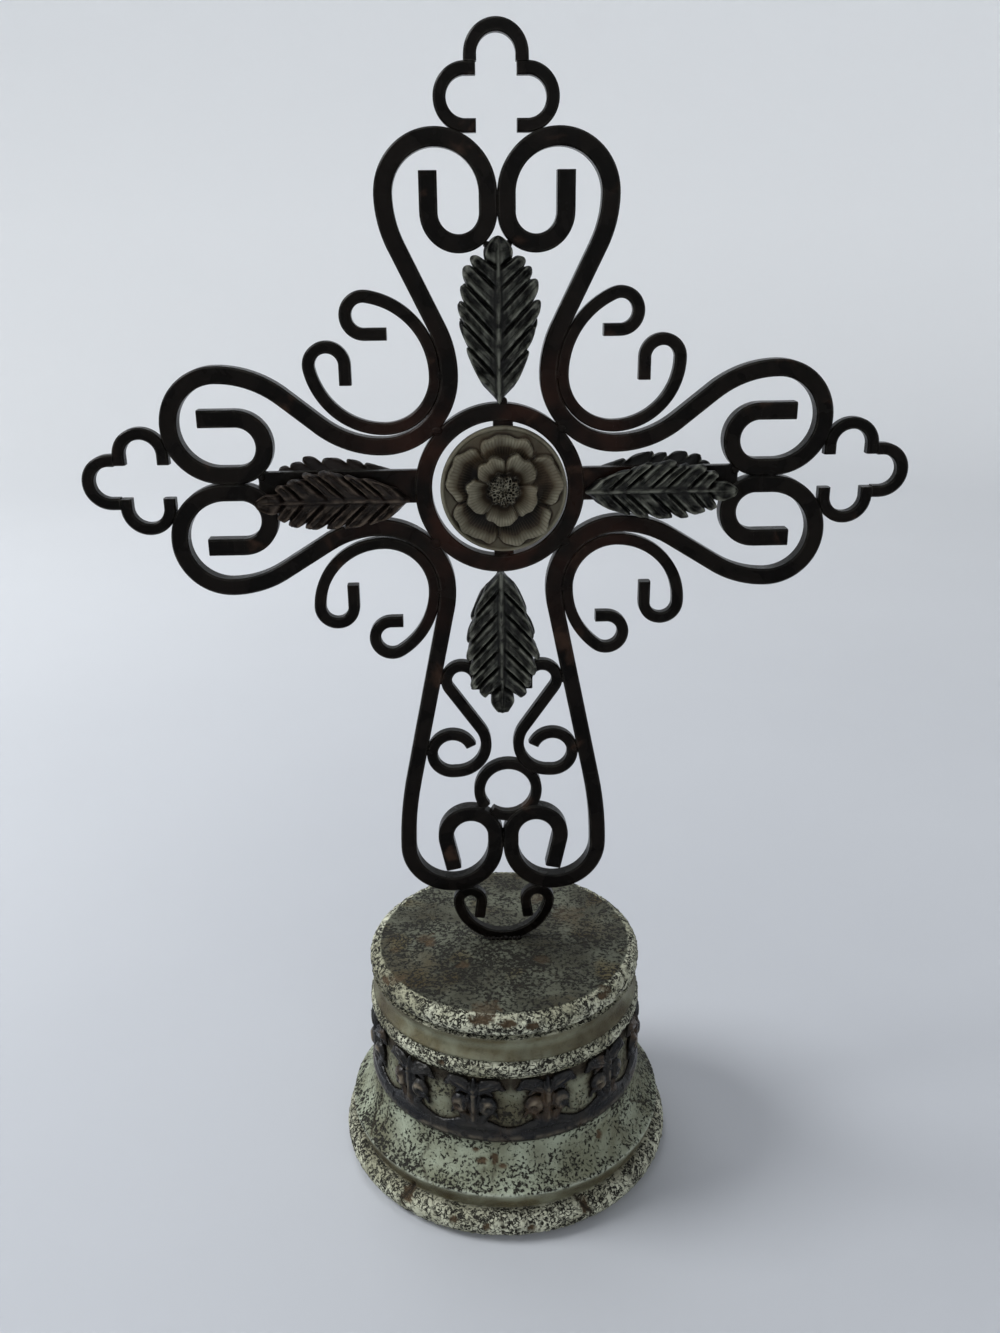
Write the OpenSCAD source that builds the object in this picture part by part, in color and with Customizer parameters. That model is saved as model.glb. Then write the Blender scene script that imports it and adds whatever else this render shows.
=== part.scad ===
// Wrought iron table cross: bent square bar, cast leaves and a rose, standing on a turned base.
// Origin: centre of the base's underside. +Z up, +X right, the front faces -Y.

/* [Bar stock] */
// Square bar of the four large scrolls and the centre ring
heavy_bar = 6.2; // [4.5:0.1:7.5]
// Square bar of the curls, finials, small ring and foot
thin_bar = 4.3; // [3:0.1:5.4]
// Softened edge along every bar
eased_edge = 0.55; // [0.2:0.05:1]
// How far one bar sinks into the next at a weld
weld_bite = 0.15; // [0.05:0.05:0.4]

/* [Cross] */
// Outside radius of the centre ring
ring_r = 31; // [25:0.5:37.5]
// How far the side arms sit above the ring's centre
side_arm_lift = 3.5; // [0:0.5:8]
// Ring centre to the far edge of an arm's scrolls
arm_reach = 120.8; // [112:0.2:145]
// Outside radius of the large turn of a scroll
scroll_r = 20.8; // [17.2:0.1:22]
// Outside radius of a scroll's inner hook
hook_r = 13.2; // [11:0.1:15]
// How much nearer the ring an inner hook's centre lies
hook_drop = 5.6; // [2:0.1:8]
// Length of the straight tail inside a scroll
tail_len = 13; // [8:0.5:16]
// Outside radius of the bend between an arm's scroll and its stem
haunch_r = 40; // [32:0.5:60]
// Outside radius of the bend that is welded to the ring
corner_r = 27.6; // [23:0.1:33.2]
// How much wider that bend opens before it runs into a stem
shoulder_open = 11.4; // [6:0.2:16]
// Angle of the upper bends round the ring, up from level
upper_bend_at = 44; // [40:0.5:48]
// Angle of the lower bends round the ring, down from level
lower_bend_at = 40.5; // [38:0.5:46]

/* [Lower arm] */
// Bottom edge of the lower scrolls below the ring's centre
lower_reach = 167.2; // [152:0.2:200]
// How much nearer the ring a lower hook's centre lies
lower_hook_drop = 4.2; // [2:0.1:8]
// Degrees that a lower scroll's tail leans to the middle
lower_tail_lean = 12; // [0:1:20]
// Outside radius of the long bend beside a lower scroll
lower_haunch_r = 150; // [110:1:190]

/* [Curls] */
// Gap between a curl and the bend that it nests in
curl_gap = 0.9; // [0.3:0.1:2]
// Outside radius of a curl's hooks
curl_hook_r = 8.5; // [7:0.1:9.5]

/* [S scrolls, small ring and foot] */
// Outside radius of an S scroll's upper hook
s_hook_r = 8; // [6.6:0.1:9]
// Outside radius of an S scroll's lower turn
s_turn_r = 14; // [12:0.1:15]
// Outside radius of the eye inside that turn
s_eye_r = 10.2; // [8.5:0.1:11.5]
// Outside radius of the small ring
small_ring_r = 13.6; // [11.5:0.1:16]
// Opening left in the small ring
small_ring_gap = 3; // [1:0.5:6]
// Outside radius of the foot scroll
foot_turn_r = 21.2; // [17.7:0.1:25]
// Outside radius of the foot scroll's hooks
foot_hook_r = 7; // [6:0.1:8.4]
// How far the foot scroll is bedded into the base
foot_bed = 0.35; // [0.1:0.05:0.8]

/* [Finials] */
// Outside radius of the top finial's half rings
finial_r = 10.7; // [9:0.1:12.8]
// Outside radius of the side finials' half rings
side_finial_r = 10; // [8.6:0.1:12]
// Overlap of the two side half rings' outlines, half of it each side of the middle
finial_nest = 1; // [0:0.1:2]
// How far a side finial sits above its arm's middle line
finial_lift = 1.1; // [0:0.1:2]
// Straight lip at the ends of the side half rings
finial_lip = 3.4; // [2:0.1:5]
// Straight legs of the crowning half ring
crown_leg = 2; // [1:0.1:6]

/* [Straps] */
// Height of the flat straps behind the side leaves
strap_w = 12; // [8:0.5:14.4]
// Thickness of the flat straps
strap_t = 3; // [2:0.1:4]
// How far short of the hooks' centres a side strap ends
strap_short = 7; // [5:0.5:10]
// Centre of a side strap above the ring's centre
strap_lift = 1.4; // [0:0.1:3]
// Width of the upright strap that carries the rose
rose_strap_w = 7.2; // [5:0.1:12]

/* [Leaves] */
// Length of a cast leaf
leaf_len = 56; // [46:0.5:60]
// Width of the upright leaves
leaf_w = 28; // [22:0.5:30]
// Width of the leaves on the side arms
side_leaf_w = 22; // [18:0.5:25]
// Height of a leaf's middle rib above its back
leaf_rise = 4.2; // [3:0.1:6]
// Thickness of a leaf at its edge
leaf_edge = 1.2; // [0.8:0.1:2]
// How far a leaf's edges are cupped off its back
leaf_cup = 2.6; // [0:0.1:4]
// Pairs of lobes along a leaf
leaf_pairs = 5; // [3:1:7]
// How far the front right leaf sits below the ring's centre
leaf_drop = 1.2; // [0:0.1:2]
// How much lower the left leaves sit, and how much farther out they start
left_leaf_off = 2; // [0:0.1:3]

/* [Rose] */
// Radius of the rose's round plate
rose_r = 23.1; // [18:0.1:23.4]
// Thickness of the rose's plate
rose_plate_t = 2.6; // [1.5:0.1:4]
// Depth of the dish inside the plate's rim
rose_dish = 0.9; // [0.3:0.1:1.2]
// Height of the petals above the plate
petal_rise = 4.6; // [3:0.1:7]
// How far the rose sits to the right of the ring's centre
rose_shift = 1.3; // [0:0.1:1.5]
// Number of petals in each of the two rows
petals = 5; // [4:1:8]

/* [Base] */
// Radius of the base's top
base_top_r = 56.5; // [54:0.5:68]
// Radius of the waist behind the metal band
waist_r = 55.5; // [48:0.5:66]
// Radius of the sharp ridge above the foot
ridge_r = 66.8; // [62:0.2:80]
// Radius of the foot
foot_r = 70.2; // [68:0.5:90]
// Height of the round foot
foot_h = 12; // [8:0.5:16]
// Height of the groove between foot and ridge
groove_h = 8; // [5:0.5:12]
// Height of the hollow skirt under the band
skirt_h = 18; // [12:0.5:24]
// Height of the half round above the band
bead_h = 8.4; // [5:0.2:12]
// Height of the hollow below the top rim
cove_h = 10.2; // [6:0.2:14]
// Height of the round top rim
rim_h = 9.4; // [6:0.2:14]

/* [Band] */
// Height of the pierced metal band
band_h = 28.8; // [22:0.2:36]
// Thickness of the band's sheet
band_t = 1.6; // [1:0.1:2.4]
// Repeats of the band's pattern
band_repeats = 12; // [10:1:14]

/* [Hidden] */
$fn = 96;
ARMS = ["top", "left", "right"];
LEAVES = ["top", "left", "right", "bottom"];
CORNERS = ["upper_left", "upper_right", "lower_left", "lower_right"];
FINIAL_BARS = ["crown", "left", "right"];
SIDES = ["left", "right"];
FACES = ["front", "back"];

IRON = "#241d1a";
LEAF_IRON = "#2b2a27";
ROSE_METAL = "#8d8a76";
BAND_METAL = "#33322f";
BASE_PAINT = "#a9b3a0";

heavy_in = heavy_bar / 2;
thin_in = thin_bar / 2;
curl_r = corner_r - heavy_bar - curl_gap;
// Straight-ahead distance from the ring's centre to an arm's hook centres
hook_at = arm_reach - scroll_r - hook_drop;
// Heights of the base's members, from the ground up
ridge_z = foot_h + groove_h;
waist_z = ridge_z + skirt_h;
bead_z = waist_z + band_h;
cove_z = bead_z + bead_h;
rim_z = cove_z + cove_h;
base_h = rim_z + rim_h;

// ---- Bars bent round a row of pins -----------------------------------------------------
// A pin is [x, y, radius of the bar's middle line, turn]; turn is 1 to the left, -1 to the
// right. The first and last pins are the bar's two ends and have no radius.

function to_left(heading) = [-sin(heading), cos(heading)];
function is_left(name) = name == "left" || name == "upper_left" || name == "lower_left";
function is_low(name) = name == "lower_left" || name == "lower_right";

// Heading of the straight that leaves pin a and reaches pin b, touching both
function lead(a, b) =
    let (d = [b[0] - a[0], b[1] - a[1]],
         side = b[3] * b[2] - a[3] * a[2],
         run = sqrt(max(0, d * d - side * side)))
    atan2(d[1], d[0]) - atan2(side, run);
// Point on a pin at which a bar runs along a heading
function on_pin(p, heading) = [p[0], p[1]] - p[3] * p[2] * to_left(heading);
// Degrees turned round a pin; a sweep that rounds to a full turn is no turn
function swing(p, from, to) =
    let (turned = p[3] * (to - from), a = turned - 360 * floor(turned / 360))
    a > 359.9 ? 0 : a;
// End of a bar that parts from a pin at an angle and runs straight; side 1 or -1
function tail_end(p, angle, run, side) =
    [p[0] + p[2] * cos(angle) - side * run * sin(angle),
     p[1] + p[2] * sin(angle) + side * run * cos(angle), 0, 1];
// The same pins seen in a mirror, left for right or top for bottom
function flipped(pins, sx, sy) =
    [for (p = pins) [sx * p[0], sy * p[1], p[2], sx * sy * p[3]]];
function turned_back(pins) =
    [for (i = [len(pins) - 1 : -1 : 0]) [pins[i][0], pins[i][1], pins[i][2], -pins[i][3]]];
// Middle-line radius of the bend that starts upright at dx, dy from a hook and closes on it
function closing_r(dx, dy, r) = (dx * dx + dy * dy - r * r) / (2 * (dx - r));

// A bar as its lengths in order, [x, y, heading or start angle, run, radius, sweep, turn]:
// a straight has a run and no radius, a bend has a radius and a sweep.
function bar_lengths(pins) =
    let (last = len(pins) - 1,
         heads = [for (i = [0 : last - 1]) lead(pins[i], pins[i + 1])])
    [for (i = [0 : last - 1]) each
        let (p = pins[i],
             a = on_pin(p, heads[i]),
             run = norm(on_pin(pins[i + 1], heads[i]) - a),
             sweep = i == 0 ? 0 : swing(p, heads[i - 1], heads[i]),
             start = i == 0 ? 0 : p[3] > 0 ? heads[i - 1] - 90 : heads[i] + 90)
        concat(sweep > 0.05 ? [[p[0], p[1], start, 0, p[2], sweep, p[3]]] : [],
               run > 0.02 ? [[a[0], a[1], heads[i], run, 0, 0, 1]] : [])];

module bar_section(stock) {
    h = stock / 2;
    e = h - eased_edge;
    polygon([[h, -e], [h, e], [e, h], [-e, h], [-h, e], [-h, -e], [-e, -h], [e, -h]]);
}

// Every second length is a hair slimmer and laps into its neighbours, so that all are one
module bent_bar(pins, stock) {
    lengths = bar_lengths(pins);
    last = len(lengths) - 1;
    translate([0, 0, ring_z]) rotate([90, 0, 0])
        for (k = [0 : last]) {
            b = lengths[k];
            slim = k % 2;
            lap = slim * 0.3;
            side = stock - slim * 0.04;
            on = k < last ? lap : 0;
            if (b[4] == 0)
                translate([b[0], b[1]]) rotate([0, 0, b[2]]) rotate([90, 0, 90])
                    translate([0, 0, -lap]) linear_extrude(b[3] + lap + on) bar_section(side);
            else {
                deg = 180 / PI / b[4];
                low = deg * (b[6] > 0 ? lap : on);
                translate([b[0], b[1]]) rotate([0, 0, b[2] - low])
                    rotate_extrude(angle = b[5] + deg * (lap + on))
                    translate([b[4], 0]) bar_section(side);
            }
        }
}

// A round through the whole depth of the bars, used to cut one piece to fit another
module disc(x, y, r) {
    translate([x, 0, ring_z + y]) rotate([90, 0, 0])
        cylinder(h = 2 * heavy_bar, r = r, center = true);
}

// ---- Large scrolls ---------------------------------------------------------------------
// All pins are worked out for the upper right quarter; flipped() lays the other three.

// Half of an arm right of its middle line, from the tail to the bend at the stem's end
function arm_half(reach, drop, lean, haunch) =
    let (turn_y = reach - scroll_r,
         hook = [hook_r, turn_y - drop, hook_r - heavy_in, -1])
    [tail_end(hook, lean, tail_len, 1),
     hook,
     [scroll_r, turn_y, scroll_r - heavy_in, -1],
     [2 * scroll_r - haunch, turn_y, haunch - heavy_in, -1]];

upper_half = arm_half(arm_reach, hook_drop, 0, haunch_r);
lower_half = arm_half(lower_reach, lower_hook_drop, lower_tail_lean, lower_haunch_r);

// The half arm laid over on its side, its middle line raised by the lift
function side_half(lift) =
    [for (p = upper_half) [p[1], p[0] + lift, p[2], -p[3]]];

function corner_centre(low) =
    let (at = low ? lower_bend_at : upper_bend_at)
    (ring_r + corner_r - weld_bite) * [cos(at), sin(at)];

function corner_pins(low) =
    let (c = corner_centre(low), r = corner_r - heavy_in)
    [[c[0] + shoulder_open, c[1], r + shoulder_open, 1],
     [c[0], c[1], r, 1],
     [c[0], c[1] + shoulder_open, r + shoulder_open, 1]];

function scroll_pins(low) = concat(
    low ? lower_half : upper_half,
    corner_pins(low),
    turned_back(side_half(low ? -side_arm_lift : side_arm_lift)));

module scroll(corner) {
    color(IRON)
        bent_bar(flipped(scroll_pins(is_low(corner)), is_left(corner) ? -1 : 1,
                         is_low(corner) ? -1 : 1), heavy_bar);
}

// ---- Curls -----------------------------------------------------------------------------
// Bent by hand, so no two alike: where each hook sits from the curl's centre, as shares of
// its radius, and how long its tail is, as a share of its own radius.

function curl_hooks(corner) =
    corner == "upper_left" ? [[0.29, 1.01, 0.92], [0.96, 0.19, 0.81]] :
    corner == "upper_right" ? [[0.09, 1.04, 0.7], [0.84, 0.26, 0.9]] :
    corner == "lower_left" ? [[-0.08, 0.91, 0.53], [0.9, 0.29, 1]] :
    [[-0.15, 0.88, 0.51], [0.85, 0.31, 0.95]];

function curl_pins(corner) =
    let (c = corner_centre(is_low(corner)) - [curl_gap + weld_bite, 0],
         back = curl_r - thin_in,
         r = curl_hook_r - thin_in,
         hooks = curl_hooks(corner),
         a = curl_r * hooks[0],
         b = curl_r * hooks[1],
         ease_a = closing_r(a[0] + back, a[1], r),
         ease_b = closing_r(b[1] + back, b[0], r),
         hook_a = [c[0] + a[0], c[1] + a[1], r, 1],
         hook_b = [c[0] + b[0], c[1] + b[1], r, 1])
    [tail_end(hook_a, -90, curl_hook_r * hooks[0][2], -1),
     hook_a,
     [c[0] - back + ease_a, c[1], ease_a, 1],
     [c[0], c[1], back, 1],
     [c[0], c[1] - back + ease_b, ease_b, 1],
     hook_b,
     tail_end(hook_b, 180, curl_hook_r * hooks[1][2], 1)];

module curl(corner) {
    color(IRON)
        bent_bar(flipped(curl_pins(corner), is_left(corner) ? -1 : 1,
                         is_low(corner) ? -1 : 1), thin_bar);
}

// ---- Rings -----------------------------------------------------------------------------

module centre_ring() {
    color(IRON) translate([0, 0, ring_z]) rotate([90, 0, 0])
        rotate_extrude() translate([ring_r - heavy_in, 0]) bar_section(heavy_bar);
}

// Centre of the small ring, just off the middle and down among the lower hooks
small_ring_x = 2.1;
small_ring_y = lower_reach - scroll_r - lower_hook_drop - 1.51 * hook_r;
small_ring_gap_at = 226;

module small_ring() {
    r = small_ring_r - thin_in;
    gap = small_ring_gap / r * 180 / PI;
    color(IRON) difference() {
        translate([small_ring_x, 0, ring_z - small_ring_y]) rotate([90, 0, 0])
            rotate([0, 0, small_ring_gap_at + gap / 2])
            rotate_extrude(angle = 360 - gap) translate([r, 0]) bar_section(thin_bar);
        for (side = [-1, 1]) {
            disc(side * hook_r, lower_hook_drop + scroll_r - lower_reach, hook_r - weld_bite);
            disc(side * s_turn[0], -s_turn[1], s_turn_r - weld_bite);
        }
    }
}

// ---- S scrolls and foot ----------------------------------------------------------------

// Point beside the straight between two pins: a share of the way along, so far to its right
function beside(a, b, share, off) =
    let (head = lead(a, b), from = on_pin(a, head), to = on_pin(b, head))
    from + share * (to - from) - off * to_left(head);

stem_ends = [lower_half[3], corner_pins(true)[0]];
s_hook = beside(stem_ends[0], stem_ends[1], 0.618, s_hook_r + heavy_in - weld_bite);
s_eye = beside(stem_ends[0], stem_ends[1], 0.19, s_eye_r + heavy_in - weld_bite);
// The lower turn runs into the eye a little below and outside its own centre
s_turn = s_eye - (s_turn_r - s_eye_r) * [0.4, 1.02];

function s_pins() =
    let (hook = [s_hook[0], s_hook[1], s_hook_r - thin_in, 1],
         turn = [s_turn[0], s_turn[1], s_turn_r - thin_in, -1],
         eye = [s_eye[0], s_eye[1], s_eye_r - thin_in, -1])
    [tail_end(hook, 180, 3.6, -1), hook, turn, eye, tail_end(eye, 206, 0.4, -1)];

module s_scroll(side) {
    color(IRON) bent_bar(flipped(s_pins(), is_left(side) ? -1 : 1, -1), thin_bar);
}

// Foot: one bar with a hook at each end; the hooks bear on the lower scrolls
foot_tuck = 10;
foot_hook_x = (foot_turn_r - foot_hook_r) * cos(foot_tuck);
foot_hook_y = lower_reach - scroll_r
    + sqrt(pow(scroll_r + foot_hook_r - weld_bite, 2) - pow(scroll_r - foot_hook_x, 2));
foot_turn_y = foot_hook_y - (foot_turn_r - foot_hook_r) * sin(foot_tuck);
// The whole cross stands on the foot scroll's lowest point
ring_z = base_h + foot_turn_y + foot_turn_r - foot_bed;

function foot_pins() =
    let (left = [-foot_hook_x, foot_hook_y, foot_hook_r - thin_in, -1],
         right = [foot_hook_x, foot_hook_y, foot_hook_r - thin_in, -1])
    [tail_end(left, 8, foot_hook_r, 1),
     left,
     [0, foot_turn_y, foot_turn_r - thin_in, -1],
     right,
     tail_end(right, 172, foot_hook_r, -1)];

module foot_scroll() {
    color(IRON) intersection() {
        bent_bar(flipped(turned_back(foot_pins()), 1, -1), thin_bar);
        translate([-base_top_r, -base_top_r, base_h])
            cube([2 * base_top_r, 2 * base_top_r, ring_z]);
    }
}

// ---- Finials ---------------------------------------------------------------------------

// A side half ring bears on one of the arm's large turns: its height, from how far across
// the arm's middle line it sits
function half_ring_at(r, across) =
    arm_reach - scroll_r + sqrt(pow(r + scroll_r - weld_bite, 2) - pow(scroll_r - across, 2));

// A half ring from one straight leg to the other, its open side facing down
function half_ring(r, leg_a, leg_b) =
    let (p = [0, 0, r - thin_in, 1])
    [tail_end(p, 0, leg_a, -1), p, tail_end(p, 180, leg_b, 1)];

// Bars of a finial on an upright arm; lift moves it to the arm's right
function finial_pins(bar, r, lift) =
    let (set = r - finial_nest / 2,
         left_y = half_ring_at(r, set - lift),
         right_y = half_ring_at(r, set + lift),
         crown_y = max(left_y, right_y) + r - weld_bite + crown_leg,
         s = bar == "left" ? -1 : 1,
         y = bar == "left" ? left_y : right_y)
    bar == "crown" ?
        [for (p = half_ring(r, crown_y - right_y - r + weld_bite, crown_y - left_y - r + weld_bite))
            [p[0] + lift, p[1] + crown_y, p[2], p[3]]] :
        [for (p = half_ring(r, finial_lip, finial_lip))
            [lift + s * (set + p[1]), y + p[0], p[2], -s * p[3]]];

function on_arm(pins, arm) =
    arm == "top" ? pins :
    arm == "left" ? [for (p = pins) [-p[1], p[0] + side_arm_lift, p[2], p[3]]] :
    [for (p = pins) [p[1], side_arm_lift - p[0], p[2], p[3]]];

module finial(arm, bar) {
    lift = arm == "left" ? finial_lift : arm == "right" ? -finial_lift : 0;
    r = arm == "top" ? finial_r : side_finial_r;
    color(IRON) bent_bar(on_arm(finial_pins(bar, r, lift), arm), thin_bar);
}

// ---- Straps ----------------------------------------------------------------------------

module side_strap(side) {
    s = is_left(side) ? -1 : 1;
    reach = hook_at - strap_short;
    color(IRON) difference() {
        translate([s * reach / 2, 0, ring_z + strap_lift])
            cube([reach, strap_t, strap_w], center = true);
        disc(0, 0, ring_r - weld_bite);
        for (up = [-1, 1])
            disc(s * hook_at, side_arm_lift + up * hook_r, hook_r - weld_bite);
    }
}

module rose_strap() {
    inside = ring_r - heavy_bar + weld_bite;
    color(IRON) intersection() {
        translate([rose_shift, 0, ring_z])
            cube([rose_strap_w, strap_t, 2 * ring_r], center = true);
        disc(0, 0, inside);
    }
}

// ---- Leaves ----------------------------------------------------------------------------
// A leaf is a grid of rays that leave its middle rib and slant to the tip. A row is where
// its rays start, as a share of the length, and how full the leaf is there.

LOBE_ROWS = [[0, 0.62], [0.3, 0.82], [0.66, 1], [0.86, 0.88]];
RAY_SHARES = [-1, -0.72, -0.42, 0, 0.42, 0.72, 1];
ray_slant = 52;
lobed_share = 0.86;

function leaf_rows() = concat(
    [for (k = [0 : leaf_pairs - 1], r = LOBE_ROWS)
        [(k + r[0]) / leaf_pairs * lobed_share, r[1]]],
    [[lobed_share, 0.62], [0.94, 0.9], [1, 0.5]]);

// Half width of the leaf's outer outline at a share of its length
function leaf_half(w, t) =
    w / 2 * (t < 0.25 ? 0.45 + 0.55 * sin(360 * t) : 1.03 - pow((t - 0.25) / 0.76, 2.2));
function eased(t) = let (c = min(1, max(0, t))) c * c * (3 - 2 * c);

// Point on a leaf's back (top = 0) or face (top = 1)
function leaf_point(w, bow, row, u, top) =
    let (t = row[0],
         x = leaf_half(w, t) * row[1] * u,
         cup = leaf_cup * pow(max(0, abs(u) - 0.4) / 0.6, 1.5),
         rib = (leaf_rise - leaf_edge) * (1 - 0.5 * t) * pow(1 - abs(u), 0.8))
    [x,
     leaf_len * t + abs(x) / tan(ray_slant) * (1 - pow(t, 6)),
     bow * eased((t - 0.45) / 0.38) + cup + top * (leaf_edge + rib)];

module leaf_blank(w, bow) {
    rows = leaf_rows();
    m = len(RAY_SHARES);
    n = len(rows);
    back = n * m;
    points = [for (top = [1, 0], r = rows, u = RAY_SHARES) leaf_point(w, bow, r, u, top)];
    faces = concat(
        [for (i = [0 : n - 2], j = [0 : m - 2]) each let (a = i * m + j)
            [[a, a + m, a + 1], [a + 1, a + m, a + m + 1],
             [back + a, back + a + 1, back + a + m],
             [back + a + 1, back + a + m + 1, back + a + m]]],
        [for (i = [0 : n - 2]) each let (a = i * m, b = a + m - 1)
            [[a, back + a, back + a + m], [a, back + a + m, a + m],
             [b, b + m, back + b + m], [b, back + b + m, back + b]]],
        [for (j = [0 : m - 2]) each let (b = (n - 1) * m + j)
            [[j, j + 1, back + j + 1], [j, back + j + 1, back + j],
             [b, back + b, back + b + 1], [b, back + b + 1, b + 1]]]);
    polyhedron(points, faces);
}

module leaf(arm, face) {
    side = arm == "left" || arm == "right";
    turn = arm == "top" ? 0 : arm == "right" ? 90 : arm == "bottom" ? 180 : -90;
    seat = side ? strap_t / 2 : 0;
    off = arm == "left" ? left_leaf_off : 0;
    start = ring_r - weld_bite + off;
    drop = !side ? 0 : face == "front" ? -leaf_drop - off : leaf_drop;
    color(LEAF_IRON) translate([0, 0, ring_z + drop]) rotate([0, turn, 0])
        rotate([90, 0, face == "front" ? 0 : 180]) translate([0, start, seat])
        leaf_blank(side ? side_leaf_w : leaf_w, heavy_in + 0.1 - seat);
}

// ---- Rose ------------------------------------------------------------------------------

rose_turn = 85;
ROSE_ROWS = [0.06, 0.16, 0.24, 0.36, 0.5, 0.6, 0.66, 0.8, 0.93, 1];

// How far an angle lies from the middle of its petal: 0 in the middle, 1 between two petals
function petal_off(a, turn) =
    let (step = 360 / petals, b = (a - turn) / step) 2 * abs(b - round(b));
function inner_petal(s, a) =
    s > 0.62 ? 0 : 0.5 + 0.5 * pow(s / 0.6, 2) * (1 - 0.6 * pow(petal_off(a, rose_turn + 180 / petals), 3));
function outer_petal(s, a) =
    s > 0.99 ? 0.12 : 0.3 + 0.4 * s * s * (1 - 0.7 * pow(petal_off(a, rose_turn), 3));
function petal_edge(a) = 0.9 * rose_r * (1 - 0.14 * pow(petal_off(a, rose_turn), 3));
function rose_point(s, a) =
    let (r = s * petal_edge(a), h = s < 0.2 ? 0.8 : max(inner_petal(s, a), outer_petal(s, a)))
    [r * cos(a), r * sin(a), petal_rise * h];

module petal_rows() {
    m = 12 * petals;
    n = len(ROSE_ROWS);
    outer = (n - 1) * m;
    points = concat(
        [for (s = ROSE_ROWS, j = [0 : m - 1]) rose_point(s, 360 * j / m)],
        [for (j = [0 : m - 1]) let (p = rose_point(1, 360 * j / m)) [p[0], p[1], 0]],
        [[0, 0, 0.86 * petal_rise], [0, 0, 0]]);
    faces = concat(
        [for (i = [0 : n - 1], j = [0 : m - 1]) each
            let (k = (j + 1) % m, a = i * m)
            [[a + j, a + k, a + m + j], [a + k, a + m + k, a + m + j]]],
        [for (j = [0 : m - 1]) each let (k = (j + 1) % m)
            [[(n + 1) * m, k, j], [(n + 1) * m + 1, n * m + j, n * m + k]]]);
    polyhedron(points, faces);
}

module rose() {
    dish_r = 0.93 * rose_r;
    color(ROSE_METAL) translate([rose_shift, -strap_t / 2, ring_z]) rotate([90, 0, 0]) {
        difference() {
            cylinder(h = rose_plate_t, r = rose_r);
            translate([0, 0, rose_plate_t - rose_dish]) cylinder(h = rose_plate_t, r = dish_r);
        }
        translate([0, 0, rose_plate_t - rose_dish - weld_bite]) petal_rows();
    }
}

// ---- Base ------------------------------------------------------------------------------

module round_member(z, h, r) {
    translate([0, z]) square([r - h / 2, h]);
    translate([r - h / 2, z + h / 2]) circle(d = h);
}

module base() {
    flare = ridge_r - waist_r - band_t;
    hollow_r = (flare * flare + skirt_h * skirt_h) / (2 * flare);
    cove_deep = 2.2;
    cove_r = (cove_deep * cove_deep + cove_h * cove_h / 4) / (2 * cove_deep);
    color(BASE_PAINT) rotate_extrude() {
        round_member(0, foot_h, foot_r);
        translate([0, foot_h]) polygon([[0, 0], [foot_r - foot_h / 2, 0],
            [ridge_r, groove_h - 1], [ridge_r, groove_h], [0, groove_h]]);
        difference() {
            translate([0, ridge_z]) square([ridge_r, skirt_h]);
            translate([ridge_r - flare + hollow_r, waist_z]) circle(r = hollow_r);
        }
        translate([0, waist_z]) square([waist_r, band_h]);
        round_member(bead_z, bead_h, waist_r + band_t);
        difference() {
            translate([0, cove_z]) square([waist_r + band_t - 1, cove_h]);
            translate([waist_r + band_t - 1 - cove_deep + cove_r, cove_z + cove_h / 2])
                circle(r = cove_r);
        }
        round_member(rim_z, rim_h, base_top_r);
    }
}

// ---- Band ------------------------------------------------------------------------------
// One repeat, seen from outside: x along the band from the middle of an opening, y up.

module band_opening() {
    pitch = 2 * PI * waist_r / band_repeats;
    difference() {
        union() {
            translate([0, 0.5 * band_h]) circle(r = 0.32 * pitch);
            translate([-0.16 * pitch, 0.6 * band_h]) square([0.32 * pitch, band_h]);
            for (s = [-1, 1]) translate([s * 0.24 * pitch, 0.62 * band_h]) circle(r = 0.13 * pitch);
        }
        for (s = [-1, 1]) translate([s * 0.36 * pitch, 0.4 * band_h]) circle(r = 0.12 * pitch);
    }
}

module base_band() {
    pitch = 2 * PI * waist_r / band_repeats;
    color(BAND_METAL) translate([0, 0, waist_z]) difference() {
        cylinder(h = band_h, r = waist_r + band_t);
        translate([0, 0, -1]) cylinder(h = band_h + 2, r = waist_r);
        for (i = [0 : band_repeats - 1]) {
            rotate([0, 0, 360 * i / band_repeats]) rotate([90, 0, 0])
                translate([0, 0, waist_r / 2]) linear_extrude(waist_r) band_opening();
            rotate([0, 0, 360 * (i + 0.5) / band_repeats]) rotate([90, 0, 0])
                translate([0, -0.1 * pitch, waist_r / 2]) cylinder(h = waist_r, r = 0.25 * pitch);
        }
    }
}

base();
base_band();
foot_scroll();
centre_ring();
small_ring();
rose();
rose_strap();
for (c = CORNERS) scroll(c);
for (c = CORNERS) curl(c);
for (a = ARMS, b = FINIAL_BARS) finial(a, b);
for (s = SIDES) s_scroll(s);
for (s = SIDES) side_strap(s);
for (l = LEAVES, f = FACES) leaf(l, f);
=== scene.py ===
import bmesh, bpy, math
import numpy as np
from mathutils import Matrix, Vector, noise


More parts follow.
